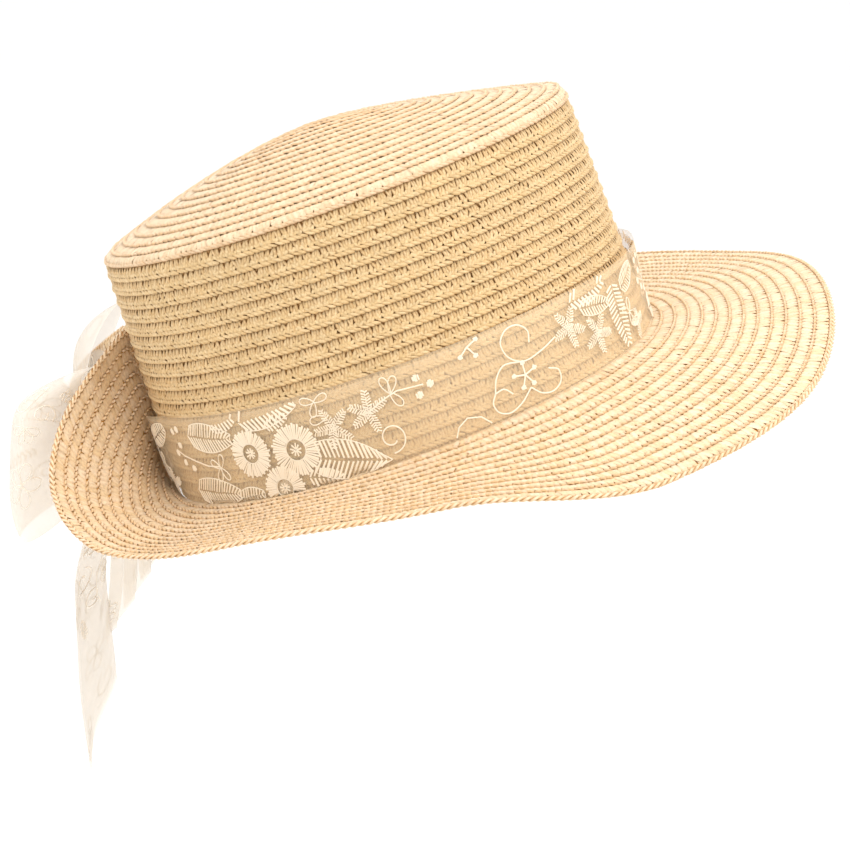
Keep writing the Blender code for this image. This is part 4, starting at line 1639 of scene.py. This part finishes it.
# Sections of the two tails, close to the CAD's. Every length is a share of the ribbon's width, and drop of
# the tail's length: drop, back, left, half back, half left and fold.
LONG_TAIL_SECTIONS = (
    (0.00, 0.010, -0.055, 0.030, 0.045, 0.010),
    (0.15, 0.105, -0.105, 0.070, 0.120, 0.030),
    (0.35, 0.190, -0.140, 0.090, 0.200, 0.045),
    (0.65, 0.188, -0.150, 0.092, 0.240, 0.040),
    (1.00, 0.178, -0.150, 0.088, 0.250, 0.030),
)
SHORT_TAIL_SECTIONS = (
    (0.00, -0.020, 0.060, 0.025, 0.035, 0.008),
    (0.30, -0.078, 0.170, 0.095, 0.070, 0.030),
    (0.65, -0.095, 0.260, 0.150, 0.110, 0.040),
    (1.00, -0.080, 0.290, 0.175, 0.130, 0.035),
)


def build_ribbon(form: HatForm) -> None:
    """Build the band, the knot, the two loops and the two tails, and report each."""
    organza, thread = Organza().material(), RayonThread().material()
    gathered = Organza("gathered_organza", "EBE2D5", 0.55).material()
    bow_thread = RayonThread("bow_rayon_thread", "F7EEE0", "ECDFCB").material()
    lace, sparse = lace_pattern(), bow_pattern()
    place = BowPlace((-119.75 * MM, 0.0, -14.0 * MM))
    parts = (
        HatBand("ribbon_band", "band", organza, thread, lace, form),
        BowKnot("ribbon_knot", "bow_knot", gathered, bow_thread, sparse, place),
        BowLoop("ribbon_loop_near", "bow_loop_near", gathered, bow_thread, sparse, place, side=-1,
                top_retreat=1.0, low_retreat=0.14, low_drop=7 * MM, top_drop=6.5 * MM),
        BowLoop("ribbon_loop_far", "bow_loop_far", gathered, bow_thread, sparse, place, side=1, reach=0.52,
                root_aside=26, aside=78, open_outer=0.10, open_inner=0.01, lift=0.54, lean_outer=0.05,
                lean_inner=0.03, top_retreat=0.30, low_retreat=0.4, top_lean=36 * MM),
        BowTail("ribbon_tail_long", "bow_tail_long", gathered, bow_thread, sparse, place, longest=137 * MM,
                sections=LONG_TAIL_SECTIONS, waves=0.55, fold_share=0.5, forward=5 * MM),
        BowTail("ribbon_tail_short", "bow_tail_short", gathered, bow_thread, sparse, place, longest=77 * MM,
                shortest=41 * MM, sections=SHORT_TAIL_SECTIONS, layers=1, waves=1.7, fold_share=1.6,
                spread=2.1),
    )
    for part in parts:
        report(part.build())


def report(pieces: list) -> None:
    """Name each new piece and its number of faces."""
    for piece in pieces:
        log.info("%s: %d faces", piece.name, len(piece.data.polygons))


def main() -> None:
    """Build the hat's pieces in order and report each."""
    logging.basicConfig(level=logging.INFO, format="%(message)s")
    form = HatForm()
    # Lit and shaded copies of one straw and one middle layer: the top and the brim are painted paler and
    # creamier than the crown's side for the stronger light on them, and the crown's middle layer is painted
    # darkest for the shade inside it
    on_side = (BraidStraw("crown_paper_straw_painted_shade", "EACF9F", "DFC08B", "A67030").material(),
               BraidGround("crown_painted_shade_and_glow", "7E5628", "A0733C").material())
    on_top = (BraidStraw("top_paper_straw_painted_light", "EED7B5", "E4C7A0", "B87F3C").material(),
              BraidGround("top_painted_shade_and_glow", "C3924C", "D8AC68").material())
    on_brim = (BraidStraw("brim_paper_straw_painted_light", "F2DCBE", "E9CCA1", "BF8842").material(),
               BraidGround("brim_painted_shade_and_glow", "C98D3E", "DBA456").material())
    crown, brim, edge = CrownRows(form), BrimRows(form), EdgeRows(form)
    last = math.ceil(form.profile / crown.row)
    # Each stretch of braid: name, node, rows, style, first row, last row, seed, depth of its middle layer in
    # millimetres, and finishes
    parts = (
        ("crown_top_braid", "crown", crown, TOP_BRAID, -1, 15, 100, 1.5, on_top),
        ("crown_upper_braid", "crown", crown, OPEN_BRAID, 15, 24, 200, 1.3, on_side),
        ("crown_lower_braid", "crown", crown, OPEN_BRAID, 24, last, 300, 1.3, on_side),
        ("brim_inner_braid", "brim", brim, BRIM_BRAID, 0, 6, 400, 1.0, on_brim),
        ("brim_outer_braid", "brim", brim, BRIM_BRAID, 6, brim.rows_across, 500, 1.0, on_brim),
        ("brim_edge_braid", "brim_edge", edge, BRIM_BRAID, 0, 1, 600, 1.0, on_brim),
    )
    for *place, depth, finishes in parts:
        report(StrawPart(*place, depth * MM).build(*finishes))
    report([EdgeCord(form).build(on_brim[0])])
    build_ribbon(form)
    Studio().build()
    boxes = {"cad": CAD_BOX, "visual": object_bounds()}
    {key: [list(corner) for corner in box] for key, box in boxes.items()}


if __name__ == "__main__":
    main()
